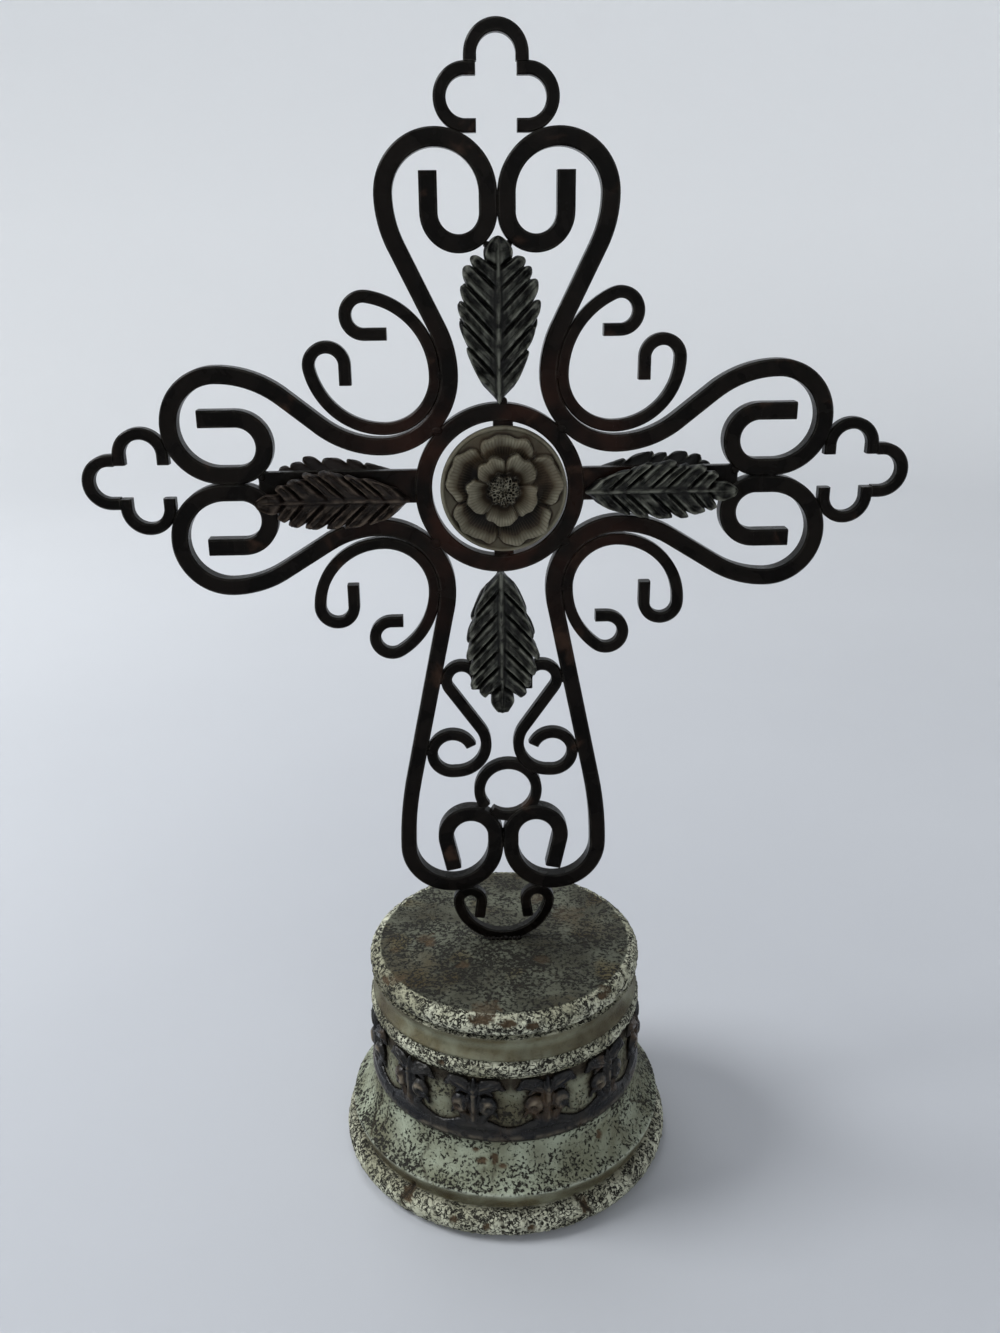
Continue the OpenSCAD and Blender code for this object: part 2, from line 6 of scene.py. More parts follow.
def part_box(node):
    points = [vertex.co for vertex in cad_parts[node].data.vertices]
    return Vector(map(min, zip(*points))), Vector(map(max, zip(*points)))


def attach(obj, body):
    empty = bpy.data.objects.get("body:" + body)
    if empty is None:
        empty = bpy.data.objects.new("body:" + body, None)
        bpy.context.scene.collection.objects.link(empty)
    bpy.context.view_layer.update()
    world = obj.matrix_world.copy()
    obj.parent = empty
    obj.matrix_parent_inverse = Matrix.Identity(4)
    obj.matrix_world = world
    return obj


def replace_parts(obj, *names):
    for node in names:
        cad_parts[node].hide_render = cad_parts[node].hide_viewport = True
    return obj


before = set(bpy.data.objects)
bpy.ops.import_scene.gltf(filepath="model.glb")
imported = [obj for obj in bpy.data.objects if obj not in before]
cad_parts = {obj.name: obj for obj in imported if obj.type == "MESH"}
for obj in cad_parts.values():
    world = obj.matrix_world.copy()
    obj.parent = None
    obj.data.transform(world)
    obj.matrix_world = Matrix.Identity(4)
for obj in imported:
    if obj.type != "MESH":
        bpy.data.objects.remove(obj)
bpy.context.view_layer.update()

# ---- Camera ------------------------------------------------------------------------------
# The view is taken from a little above the ring, tipped down so that the whole cross and
# its base fill an upright frame.
eye = Vector((-0.0155, -0.4195, 0.3699))
tip, swing, roll = 0.3501, 0.0355, -0.0100
ahead = Vector((math.sin(swing) * math.cos(tip), math.cos(swing) * math.cos(tip), -math.sin(tip)))
level = Vector((math.cos(swing), -math.sin(swing), 0))
over = level.cross(ahead)
right_hand = level * math.cos(roll) + over * math.sin(roll)
head = right_hand.cross(ahead)
camera = bpy.data.objects.new("camera", bpy.data.cameras.new("camera"))
camera.data.sensor_width = 36
camera.data.lens = 36 * 1151.87 / 1333
camera.data.clip_start = 0.01
camera.matrix_world = Matrix.Translation(eye) @ Matrix((right_hand, head, -ahead)).transposed().to_4x4()
bpy.context.scene.collection.objects.link(camera)
bpy.context.scene.camera = camera
bpy.context.scene.view_settings.view_transform = "Standard"

# ---- Light and floor ---------------------------------------------------------------------
# Daylight from a big window at the left and a little behind, a weak fill from the front,
# and a pale floor that turns up into a pale wall all round, greyer near the middle and
# paler further out as painted shade and light.


def put(tree, kind, into=None, **how):
    """Adds a node; `into` gives each input a value or a socket to be linked from."""
    node = tree.nodes.new(kind)
    for key, value in how.items():
        setattr(node, key, value)
    for key, value in (into or {}).items():
        if isinstance(value, bpy.types.NodeSocket):
            tree.links.new(value, node.inputs[key])
        else:
            node.inputs[key].default_value = value
    return node


def spread(tree, value, low=0.0, high=1.0, to_low=0.0, to_high=1.0):
    """Carries a value from one range to another, held at its ends."""
    return put(tree, "ShaderNodeMapRange", {"Value": value, "From Min": low, "From Max": high,
                                            "To Min": to_low, "To Max": to_high}).outputs[0]


def blank_material(name):
    material = bpy.data.materials.new(name)
    material.use_nodes = True
    material.node_tree.nodes.clear()
    return material, material.node_tree


def lamp(name, place, aim, size, watts, colour):
    light = bpy.data.lights.new(name, "AREA")
    light.shape, light.size, light.energy, light.color = "DISK", size, watts, colour
    obj = bpy.data.objects.new(name, light)
    obj.location = place
    obj.rotation_euler = (Vector(aim) - Vector(place)).to_track_quat("-Z", "Y").to_euler()
    bpy.context.scene.collection.objects.link(obj)


lamp("window", (-1.5, 0.1, 1.7), (0, 0, 0.15), 1.0, 37, (0.97, 0.99, 1.0))
lamp("front_fill", (0.3, -2.0, 1.3), (0, 0, 0.15), 1.6, 5.5, (1.0, 0.98, 0.95))
lamp("high_back", (-0.3, 0.7, 1.9), (0, 0.1, 0.2), 1.0, 9, (0.96, 0.98, 1.0))

world = bpy.data.worlds.new("room")
bpy.context.scene.world = world
world.use_nodes = True
sky = world.node_tree
sky.nodes.clear()
path = put(sky, "ShaderNodeLightPath")
seen = put(sky, "ShaderNodeMath", {0: path.outputs["Is Camera Ray"], 1: path.outputs["Is Glossy Ray"]},
           operation="MAXIMUM")
plain = put(sky, "ShaderNodeBackground", {"Color": (0.84, 0.88, 0.95, 1), "Strength": 0.30})
pale = put(sky, "ShaderNodeBackground", {"Color": (0.60, 0.64, 0.70, 1), "Strength": 1.0})
both = put(sky, "ShaderNodeMixShader", {0: seen.outputs[0], 1: plain.outputs[0], 2: pale.outputs[0]})
put(sky, "ShaderNodeOutputWorld", {"Surface": both.outputs[0]})

floor_mesh = bpy.data.meshes.new("floor")
wall = [(0.0, 0.0), (0.8, 0.0), (1.6, 0.0)] + [(1.6 + 0.9 * math.sin(t), 0.9 - 0.9 * math.cos(t))
                                               for t in np.linspace(0.08, math.pi / 2, 20)] + [(2.5, 1.9)]
floor_mesh.from_pydata([(r * math.cos(t), r * math.sin(t), z) for r, z in wall[1:]
                        for t in np.linspace(0, 2 * math.pi, 96, endpoint=False)] + [(0, 0, 0)], [],
                       [(96 * k + j, 96 * k + 96 + j, 96 * k + 96 + (j + 1) % 96, 96 * k + (j + 1) % 96)
                        for k in range(len(wall) - 2) for j in range(96)]
                       + [(96 * (len(wall) - 1), j, (j + 1) % 96) for j in range(96)])
floor_mesh.shade_smooth()
floor = bpy.data.objects.new("floor", floor_mesh)
bpy.context.scene.collection.objects.link(floor)
floor_material, tree = blank_material("floor_cloth")
spot = put(tree, "ShaderNodeTexCoord").outputs["Object"]
weave = put(tree, "ShaderNodeTexNoise", {"Vector": spot, "Scale": 3.0, "Detail": 3.0})
near_by = put(tree, "ShaderNodeVectorMath", {0: spot}, operation="LENGTH").outputs["Value"]
painted_light_further_out = spread(tree, near_by, 0.2, 2.4)
tone = put(tree, "ShaderNodeMix",
           {"Factor": weave.outputs["Fac"], 6: (0.45, 0.465, 0.495, 1), 7: (0.51, 0.525, 0.555, 1)},
           data_type="RGBA")
# Painted shade and light: the cloth greyer near the middle, paler out towards the wall
tone = put(tree, "ShaderNodeMix", {"Factor": painted_light_further_out, 6: tone.outputs[2], 7: (0.87, 0.88, 0.89, 1)},
           data_type="RGBA")
skin = put(tree, "ShaderNodeBsdfPrincipled", {"Base Color": tone.outputs[2], "Roughness": 0.9})
put(tree, "ShaderNodeOutputMaterial", {"Surface": skin.outputs[0]})
floor_mesh.materials.append(floor_material)

# ---- Wrought bars ------------------------------------------------------------------------
# Square bar bent into scrolls, curls, rings and finials, with flat straps. It is taken to
# be mild steel, blacked, and it is browner towards the ring.
bars = [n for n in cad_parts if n.endswith(("_scroll", "_curl", "_ring", "_strap"))
        or "_finial_" in n]
ring_lo, ring_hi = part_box("centre_ring")
ring_at = (ring_lo + ring_hi) / 2


def group(name, inputs, outputs):
    """A shader node group with float inputs; outputs are given as (name, kind)."""
    tree = bpy.data.node_groups.new(name, "ShaderNodeTree")
    for key, value in inputs:
        socket = tree.interface.new_socket(key, in_out="INPUT", socket_type="NodeSocketFloat")
        socket.default_value = value
    for key, kind in outputs:
        tree.interface.new_socket(key, in_out="OUTPUT", socket_type=kind)
    return tree, tree.nodes.new("NodeGroupInput"), tree.nodes.new("NodeGroupOutput")


# Edges, for wear and for painted highlights: where a rounded normal turns away from the true one, broken up
# by noise
edge_wear_and_highlight, given, result = group("edge_wear_and_highlight", [("Width", 0.0008), ("Gain", 6.0), ("Break", 300.0)],
                                 [("Mask", "NodeSocketFloat")])
tree = edge_wear_and_highlight
spot = put(tree, "ShaderNodeTexCoord").outputs["Object"]
soft = put(tree, "ShaderNodeBevel", {"Radius": given.outputs["Width"]}, samples=4)
true_normal = put(tree, "ShaderNodeNewGeometry").outputs["Normal"]
turn = put(tree, "ShaderNodeVectorMath", {0: soft.outputs[0], 1: true_normal}, operation="DOT_PRODUCT")
away = put(tree, "ShaderNodeMath", {0: 1.0, 1: turn.outputs["Value"]}, operation="SUBTRACT")
much = put(tree, "ShaderNodeMath", {0: away.outputs[0], 1: given.outputs["Gain"]}, operation="MULTIPLY")
broken = put(tree, "ShaderNodeTexNoise", {"Vector": spot, "Scale": given.outputs["Break"], "Detail": 3.0})
kept = put(tree, "ShaderNodeMapRange", {"Value": broken.outputs["Fac"], "From Min": 0.38, "From Max": 0.62})
edge_mask = put(tree, "ShaderNodeMath", {0: much.outputs[0], 1: kept.outputs[0]}, operation="MULTIPLY",
           use_clamp=True)
tree.links.new(edge_mask.outputs[0], result.inputs["Mask"])

# Patches: soft-edged areas of a second tone
patches, given, result = group("patches", [("Scale", 50.0), ("Low", 0.45), ("High", 0.6), ("Detail", 3.0)],
                               [("Mask", "NodeSocketFloat"), ("Grain", "NodeSocketFloat")])
tree = patches
spot = put(tree, "ShaderNodeTexCoord").outputs["Object"]
cloud = put(tree, "ShaderNodeTexNoise", {"Vector": spot, "Scale": given.outputs["Scale"],
                                         "Detail": given.outputs["Detail"], "Distortion": 0.4})
area = put(tree, "ShaderNodeMapRange", {"Value": cloud.outputs["Fac"], "From Min": given.outputs["Low"],
                                        "From Max": given.outputs["High"]}, interpolation_type="SMOOTHSTEP")
tree.links.new(area.outputs[0], result.inputs["Mask"])
tree.links.new(cloud.outputs["Fac"], result.inputs["Grain"])


def use(tree, group_tree, **values):
    node = tree.nodes.new("ShaderNodeGroup")
    node.node_tree = group_tree
    for key, value in values.items():
        node.inputs[key].default_value = value
    return node


def blend_colour(tree, mask, under, top):
    into = {"Factor": mask}
    for slot_number, colour in ((6, under), (7, top)):
        into[slot_number] = colour if isinstance(colour, bpy.types.NodeSocket) else (*colour, 1)
    return put(tree, "ShaderNodeMix", into, data_type="RGBA").outputs[2]


def math_of(tree, how, a, b, clamp=False):
    return put(tree, "ShaderNodeMath", {0: a, 1: b}, operation=how, use_clamp=clamp).outputs[0]


iron, tree = blank_material("blacked_iron")
spot = put(tree, "ShaderNodeTexCoord").outputs["Object"]
mottled = use(tree, patches, Scale=70.0, Low=0.4, High=0.62)
colour = blend_colour(tree, mottled.outputs["Mask"], (0.0024, 0.0019, 0.0015), (0.0064, 0.0048, 0.0037))
near_ring = put(tree, "ShaderNodeVectorMath", {0: spot, 1: tuple(ring_at)}, operation="DISTANCE")
brown_by = spread(tree, near_ring.outputs["Value"], 0.070, 0.026)
handled = use(tree, patches, Scale=38.0, Low=0.38, High=0.66)
brown_by = math_of(tree, "MULTIPLY", brown_by, handled.outputs["Mask"])
colour = blend_colour(tree, brown_by, colour, (0.026, 0.0105, 0.0068))
spots = use(tree, patches, Scale=55.0, Low=0.62, High=0.72, Detail=6.0)
spot_amount = math_of(tree, "MULTIPLY", spots.outputs["Mask"], 0.6)
colour = blend_colour(tree, spot_amount, colour, (0.05, 0.027, 0.017))
# Wear on the edges, lightened grey-brown also as painted highlights along them
wear_and_highlight_edges = use(tree, edge_wear_and_highlight, Width=0.0009, Gain=5.0, Break=210.0)
wear_and_highlight_amount = math_of(tree, "MULTIPLY", wear_and_highlight_edges.outputs["Mask"], 0.5)
colour = blend_colour(tree, wear_and_highlight_amount, colour, (0.085, 0.078, 0.066))
facing = put(tree, "ShaderNodeSeparateXYZ", {0: put(tree, "ShaderNodeNewGeometry").outputs["Normal"]})
dusty = spread(tree, facing.outputs["Z"], 0.5, 1.0, to_high=0.22)
colour = blend_colour(tree, dusty, colour, (0.060, 0.060, 0.052))
roughness = spread(tree, mottled.outputs["Grain"], 0.3, 0.7, 0.20, 0.36)
hammer = put(tree, "ShaderNodeTexNoise", {"Vector": spot, "Scale": 160.0, "Detail": 2.0}).outputs["Fac"]
scale_pits = put(tree, "ShaderNodeTexNoise", {"Vector": spot, "Scale": 1500.0, "Detail": 4.0}).outputs["Fac"]
relief = math_of(tree, "ADD", math_of(tree, "MULTIPLY", scale_pits, 0.22), hammer)
dented = put(tree, "ShaderNodeBump", {"Height": relief, "Strength": 0.4, "Distance": 0.0006}).outputs[0]
skin = put(tree, "ShaderNodeBsdfPrincipled", {"Base Color": colour, "Roughness": roughness, "Normal": dented,
                                              "Specular IOR Level": 0.06})
put(tree, "ShaderNodeOutputMaterial", {"Surface": skin.outputs[0]})

for name in bars:
    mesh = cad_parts[name].data
    mesh.materials.clear()
    mesh.materials.append(iron)

# ---- Weld beads --------------------------------------------------------------------------
# Small lumps of weld where bar touches bar, run in from the front and the back and blacked
# over with the rest; a row of larger ones holds the foot scroll to the top of the base.
base_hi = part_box("base")[1]
bead_spots = []
for angle in (44, 136, 219.5, 320.5):
    for side in (-1, 1):
        bead_spots.append((31 * math.cos(math.radians(angle)), 2.5 * side,
                           31 * math.sin(math.radians(angle)), 1.25))
for x, z in ((0, 100), (0, 94.2), (100, 3.5), (-100, 3.5), (94.2, 3.5), (-94.2, 3.5), (0, -146.4),
             (0, -142.2),
             (11.7, -131), (-8.6, -130.5), (12.6, -114), (24, -74.8), (-24, -74.8), (29, -105), (-29, -105),
             (20.6, 40.6), (-20.6, 40.6), (22.9, -38), (-22.9, -38), (14.0, 118.2), (-14.0, 118.2),
             (117.5, 18), (117.5, -10), (-117.5, 18), (-117.5, -10), (86.3, 5.5), (-86.3, 5.5),
             (1.5, 31.5), (-3.5, 84), (3.5, 84)):
    for side in (-1, 1):
        bead_spots.append((x, 1.8 * side, z, 0.85))
bead_points = [(x / 1000, y / 1000, ring_at.z + z / 1000, s) for x, y, z, s in bead_spots]
for k in range(8):
    for side in (-1, 1):
        bead_points.append(((-6.3 + 1.8 * k) / 1000, side * 0.0020, base_hi.z + 0.0003,
                            0.62 + 0.2 * math.sin(2.3 * k + side)))

tree = bpy.data.node_groups.new("weld_beads", "GeometryNodeTree")
tree.interface.new_socket("Geometry", in_out="INPUT", socket_type="NodeSocketGeometry")
size_in = tree.interface.new_socket("Bead radius", in_out="INPUT", socket_type="NodeSocketFloat")
rough_in = tree.interface.new_socket("Lumpiness", in_out="INPUT", socket_type="NodeSocketFloat")
tree.interface.new_socket("Geometry", in_out="OUTPUT", socket_type="NodeSocketGeometry")
given, result = tree.nodes.new("NodeGroupInput"), tree.nodes.new("NodeGroupOutput")
ball = put(tree, "GeometryNodeMeshIcoSphere", {"Radius": given.outputs["Bead radius"], "Subdivisions": 3})
how_big = put(tree, "GeometryNodeInputNamedAttribute", {"Name": "size"}, data_type="FLOAT")
uneven = put(tree, "FunctionNodeRandomValue", {"Min": (0.8, 0.6, 0.8), "Max": (1.35, 0.95, 1.3), "Seed": 7},
             data_type="FLOAT_VECTOR")
stretch = put(tree, "ShaderNodeVectorMath", {0: uneven.outputs[0], "Scale": how_big.outputs["Attribute"]},
              operation="SCALE")
placed = put(tree, "GeometryNodeInstanceOnPoints", {"Points": given.outputs["Geometry"],
             "Instance": ball.outputs["Mesh"], "Scale": stretch.outputs[0]})
solid = put(tree, "GeometryNodeRealizeInstances", {0: placed.outputs[0]})
lumps = put(tree, "ShaderNodeTexNoise", {"Scale": 900.0, "Detail": 2.0})
push = put(tree, "ShaderNodeMath", {0: lumps.outputs["Fac"], 1: given.outputs["Lumpiness"]},
           operation="MULTIPLY")
way = put(tree, "ShaderNodeVectorMath", {0: put(tree, "GeometryNodeInputNormal").outputs[0],
                                         "Scale": push.outputs[0]}, operation="SCALE")
lumpy = put(tree, "GeometryNodeSetPosition", {"Geometry": solid.outputs[0], "Offset": way.outputs[0]})
smooth = put(tree, "GeometryNodeSetShadeSmooth", {0: lumpy.outputs[0]})
finished = put(tree, "GeometryNodeSetMaterial", {"Geometry": smooth.outputs[0], "Material": iron})
tree.links.new(finished.outputs[0], result.inputs[0])


def make_mesh(name, points, faces, values=None, smooth=True):
    """A mesh object at the origin, with named values kept on its points."""
    mesh = bpy.data.meshes.new(name)
    mesh.from_pydata([tuple(p) for p in np.asarray(points, float)], [], [tuple(map(int, f)) for f in faces])
    for key, amount in (values or {}).items():
        mesh.attributes.new(key, "FLOAT", "POINT").data.foreach_set("value", np.asarray(amount, np.float32))
    if smooth:
        mesh.shade_smooth()
    obj = bpy.data.objects.new(name, mesh)
    bpy.context.scene.collection.objects.link(obj)
    return obj


def grown(obj, tree, values):
    """Grows a piece by a Geometry Nodes tree, and leaves it a plain mesh."""
    modifier = obj.modifiers.new("grow", "NODES")
    modifier.node_group = tree
    for socket, value in values:
        modifier[socket.identifier] = value
    bpy.context.view_layer.update()
    mesh = bpy.data.meshes.new_from_object(obj.evaluated_get(bpy.context.evaluated_depsgraph_get()))
    obj.modifiers.clear()
    obj.data = mesh
    mesh.name = obj.name
    return obj


beads = make_mesh("weld_beads", [p[:3] for p in bead_points], [], {"size": [p[3] for p in bead_points]},
                  False)
grown(beads, tree, [(size_in, 0.0011), (rough_in, 0.0007)])
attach(beads, "root")

# ---- Leaves ------------------------------------------------------------------------------
# Eight cast leaves, back to back in pairs, with furrowed lobes that curl at the tips. Dark
# castings whose ribs have been brushed with a paler grey-green; the left pair is browner.


def step(a, b, x):
    t = np.clip((x - a) / (b - a), 0, 1)
    return t * t * (3 - 2 * t)


def grid_faces(rows, columns, start=0, flip=False):
    i, j = np.meshgrid(np.arange(rows - 1), np.arange(columns - 1), indexing="ij")
    a = (start + i * columns + j).ravel()
    quads = np.stack([a, a + 1, a + columns + 1, a + columns], 1)
    return quads[:, ::-1] if flip else quads


def leaf_form(length, width, seat, bow, cup, seed):
    """Points of a leaf across, along and out from its seat; its face first, then its back."""
    rows, columns = 230, 61
    pairs, lobed, slant = 6, 0.80, math.tan(math.radians(40))
    t = np.linspace(0, 1, rows)[:, None]
    u = np.sin(np.linspace(-1, 1, columns) * math.pi / 2)[None, :]
    au = np.abs(u)
    rng = np.random.default_rng(seed)
    sides = []
    for side in (0, 1):
        ends = (np.linspace(0, lobed, pairs + 1)
                + np.concatenate([[0], rng.uniform(-0.022, 0.022, pairs - 1), [0]]))
        lobe = np.clip(np.searchsorted(ends, t, side="right") - 1, 0, pairs)
        starts, stops = np.append(ends[:-1], lobed), np.append(ends[1:], 1.0)
        sides.append(((t - starts[lobe]) / (stops[lobe] - starts[lobe]),
                      rng.uniform(0.86, 1.0, pairs + 1)[lobe],
                      rng.uniform(0.75, 1.15, pairs + 1)[lobe]))
    f, side_vary, strength = (np.where(u < 0, left, right) for left, right in zip(*sides))
    f = np.clip(f, 0, 1)
    full = 0.82 + 0.18 * np.sin(math.pi * f**1.15) ** 0.5
    half = (width / 2 * np.where(t < 0.25, 0.50 + 0.50 * np.sin(2 * math.pi * t),
                                 1.03 - (np.clip(t - 0.25, 0, 1) / 0.76) ** 2.2))
    tongue = width / 2 * (0.33 + 0.06 * np.sin(math.pi * f)) * np.sqrt(np.clip(1.0004 - f**1.7, 0, 1))
    half, full = np.where(t >= lobed, tongue, half), np.where(t >= lobed, 1.0, full)
    x = half * full * u * side_vary
    along = length * t + np.abs(x) / slant * (1 - t**5) * 0.9
    on_lobe = step(0.06, 0.34, au)
    furrow = np.exp(-((f / 0.10) ** 2)) + np.exp(-(((1 - f) / 0.07) ** 2))
    rims = np.exp(-(((f - 0.24) / 0.10) ** 2)) + 0.85 * np.exp(-(((f - 0.84) / 0.085) ** 2))
    hollow = np.exp(-(((f - 0.56) / 0.17) ** 2)) * step(0.3, 0.6, au)
    notch = np.exp(-(((f - 0.50) / 0.035) ** 2))
    belly = np.sin(math.pi * f) ** 0.5
    fade = np.clip(1.1 - 0.35 * t, 0.3, 1) * strength
    detail = on_lobe * fade * (0.55 * belly - 1.5 * furrow + 0.75 * rims - 0.35 * hollow - 0.4 * notch)
    detail = (detail + 1.2 * np.exp(-((x * 1000 / 1.0) ** 2)) * (1 - 0.6 * t)
              + 0.25 * np.cos(x * 1000 * 3.3) * (1 - on_lobe))
    detail = detail + 0.75 * np.exp(-(((au - 0.9) / 0.06) ** 2)) * belly * fade
    cupped = cup * np.clip((au - 0.4) / 0.6, 0, 1) ** 1.5
    roll_off = 0.0011 * np.clip((au - 0.93) / 0.07, 0, 1) ** 2
    lift = bow * step(0.45, 0.83, t) + cupped
    body = 0.0012 + 0.0021 * (1 - 0.5 * t) * (1 - au) ** 0.8
    wavy = np.array([[noise.noise(Vector((p * 700, q * 260, seed))) for p, q in zip(row_x, row_l)]
                     for row_x, row_l in zip(x, along)])
    detail = detail + 0.35 * wavy * on_lobe
    face = lift + body + detail * 0.00135 - roll_off
    back = lift + 0.25 * np.minimum(detail, 0) * 0.0008 + 0.5 * roll_off
    back = np.minimum(back, face - 0.0004)
    back = np.maximum(back, 0) + 0 * u
    points = np.concatenate([np.stack([x, along, face + seat], -1).reshape(-1, 3),
                             np.stack([x, along, back + seat], -1).reshape(-1, 3)])
    n = rows * columns
    faces = [grid_faces(rows, columns), grid_faces(rows, columns, n, True)]
    edge = np.concatenate([np.arange(columns), np.arange(1, rows) * columns + columns - 1,
                           (rows - 1) * columns + np.arange(columns - 2, -1, -1),
                           np.arange(rows - 2, 0, -1) * columns])
    nxt = np.roll(edge, -1)
    faces.append(np.stack([edge, edge + n, nxt + n, nxt], 1))
    ridge = np.clip(0.40 + 0.42 * detail, 0, 1)
    return points, np.concatenate(faces), np.concatenate([ridge.ravel(), np.full(n, 0.35)])


def leaf_finish(name, dark, brushed, amount):
    material, tree = blank_material(name)
    ridge = put(tree, "ShaderNodeAttribute", attribute_name="ridge").outputs["Fac"]
    scuffed = use(tree, patches, Scale=260.0, Low=0.34, High=0.62, Detail=5.0)
    raised = spread(tree, ridge, 0.46, 0.85)
    raised = math_of(tree, "MULTIPLY", raised, scuffed.outputs["Mask"])
    raised = math_of(tree, "MULTIPLY", raised, amount)
    tone = use(tree, patches, Scale=90.0, Low=0.35, High=0.65)
    colour = blend_colour(tree, tone.outputs["Mask"], dark, tuple(c * 1.9 for c in dark))
    deep = spread(tree, ridge, 0.3, 0.0)
    colour = blend_colour(tree, deep, colour, tuple(c * 0.4 for c in dark))
    colour = blend_colour(tree, raised, colour, brushed)
    edge_mask = use(tree, edge_wear_and_highlight, Width=0.0006, Gain=4.0, Break=350.0)
    colour = blend_colour(tree, math_of(tree, "MULTIPLY", edge_mask.outputs["Mask"], 0.6), colour, brushed)
    grain = put(tree, "ShaderNodeTexNoise", {"Vector": put(tree, "ShaderNodeTexCoord").outputs["Object"],
                                             "Scale": 1400.0, "Detail": 4.0}).outputs["Fac"]
    rough = spread(tree, scuffed.outputs["Grain"], 0.3, 0.7, 0.30, 0.5)
    bumpy = put(tree, "ShaderNodeBump", {"Height": grain, "Strength": 0.4, "Distance": 0.0003}).outputs[0]
    skin = put(tree, "ShaderNodeBsdfPrincipled", {"Base Color": colour, "Roughness": rough, "Normal": bumpy,
                                                  "Specular IOR Level": 0.14})
    put(tree, "ShaderNodeOutputMaterial", {"Surface": skin.outputs[0]})
    return material


cast_leaf = leaf_finish("cast_leaf", (0.0026, 0.0025, 0.0022), (0.19, 0.195, 0.16), 0.75)
brown_leaf = leaf_finish("brown_cast_leaf", (0.0055, 0.0035, 0.0027), (0.115, 0.088, 0.066), 0.65)

ARMS = {"top": Matrix(((1, 0, 0), (0, 1, 0), (0, 0, 1))), "right": Matrix(((0, 0, 1), (0, 1, 0), (-1, 0, 0))),
        "bottom": Matrix(((-1, 0, 0), (0, 1, 0), (0, 0, -1))),
        "left": Matrix(((0, 0, -1), (0, 1, 0), (1, 0, 0)))}
for arm_number, (arm, turn_to) in enumerate(ARMS.items()):
    for face_number, out in ((0, "front"), (1, "back")):
        node = f"{arm}_leaf_{out}"
        lo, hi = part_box(node)
        upright = arm in ("top", "bottom")
        low_end = {"top": lo.z - ring_at.z, "bottom": ring_at.z - hi.z, "right": lo.x, "left": -hi.x}[arm]
        length = (hi.z - lo.z) if upright else (hi.x - lo.x)
        width = (hi.x - lo.x) if upright else (hi.z - lo.z)
        middle = (lo + hi) / 2
        seat = -hi.y if out == "front" else lo.y
        bow = 0.0032 - seat
        points, faces, ridge = leaf_form(length, width, seat, bow, 0.0026, 10 * arm_number + face_number)
        s = -1 if out == "front" else 1
        local = np.stack([-s * points[:, 0], s * points[:, 2], points[:, 1] + low_end], 1)
        placed = local @ np.array(turn_to).T
        centre = np.array([middle.x if upright else 0, 0, ring_at.z if upright else middle.z])
        leaf = make_mesh(node + "_casting", placed + centre, faces, {"ridge": ridge})
        leaf.data.materials.append(brown_leaf if arm == "left" else cast_leaf)
        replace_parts(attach(leaf, "root"), node)

# ---- Rose --------------------------------------------------------------------------------
# A round cast plate with a plain raised rim, and in it a rose of two rows of hollow petals
# with ribbed faces and rolled edges. Brushed pale grey-green over a dark brown ground, with
# painted shade, near black, in the petal hollows, the folds, beside the inner petals and
# between the seeds of the heart.
rose_lo, rose_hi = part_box("rose")
rose_at = (rose_lo + rose_hi) / 2
rose_r = (rose_hi.x - rose_lo.x) / 2 * 1000
rows, columns = 132, 420
r = np.linspace(0.0, 1.0, rows)[:, None] ** 0.9 * rose_r
a = np.linspace(0, 360, columns, endpoint=False)[None, :]


def petal_share(angle, at):
    b = (angle - at) / 72
    return 2 * (b - np.round(b))


outer = petal_share(a + 2.5 * np.sin(np.radians(3 * a)), 85)
inner = petal_share(a - 2 * np.sin(np.radians(2 * a)), 121)
which_out, which_in = np.round((a - 85) / 72).astype(int) % 5, np.round((a - 121) / 72).astype(int) % 5
reach_out = np.array([19.6, 20.7, 20.9, 21.0, 21.2])[which_out]
reach_in = np.array([12.4, 13.6, 12.8, 12.6, 13.8])[which_in]
frill_out = (0.45 * np.sin(np.radians(a * 13)) + 0.35 * np.sin(np.radians(a * 7 + 40))
             + 0.2 * np.sin(np.radians(a * 23)))
frill_in = 0.35 * np.sin(np.radians(a * 11 + 20)) + 0.25 * np.sin(np.radians(a * 17))
edge_out = (reach_out + frill_out) * (1 - 0.20 * np.abs(outer) ** 4)
edge_in = (reach_in + frill_in) * (1 - 0.20 * np.abs(inner) ** 3.5)
share_out, share_in = r / edge_out, r / edge_in
fold_out = np.exp(-(((1 - np.abs(outer)) / 0.09) ** 2))
fold_in = np.exp(-(((1 - np.abs(inner)) / 0.12) ** 2))
ribs_out = (0.11 * np.sin(np.radians(a * 92) + 2.2 * outer + 1.5 * np.sin(np.radians(5 * a)))
            * step(0.55, 0.85, share_out))
ribs_in = 0.09 * np.sin(np.radians(a * 70)) * step(0.45, 0.8, share_in)
tilt_out = np.array([0.5, 0.9, -0.7, 0.8, 0.9])[which_out] * outer
hollow_out = (1.5 + 3.9 * step(0.50, 0.98, share_out) ** 1.4 - 1.6 * fold_out * step(0.45, 0.9, share_out)
              + tilt_out)
hollow_out = (hollow_out - 0.8 * np.exp(-((outer / 0.4) ** 2)) * step(0.6, 1.0, share_out) + ribs_out
              + 0.3 * frill_out)
tilt_in = np.array([0.7, -0.6, 0.6, 0.8, 0.5])[which_in] * inner
hollow_in = (2.0 + 3.9 * step(0.40, 0.94, share_in) - 1.5 * fold_in * step(0.4, 0.9, share_in) + tilt_in
             + ribs_in)
plate = 1.75 + 1.0 * step(0.925, 0.955, r / rose_r) - 1.4 * np.clip((r / rose_r - 0.975) / 0.025, 0, 1) ** 2
height = plate + np.maximum(hollow_out - plate, 0.1) * (1 - step(0.985, 1.01, share_out))
height = height + np.maximum(hollow_in - height, 0.0) * (1 - step(0.975, 1.02, share_in))
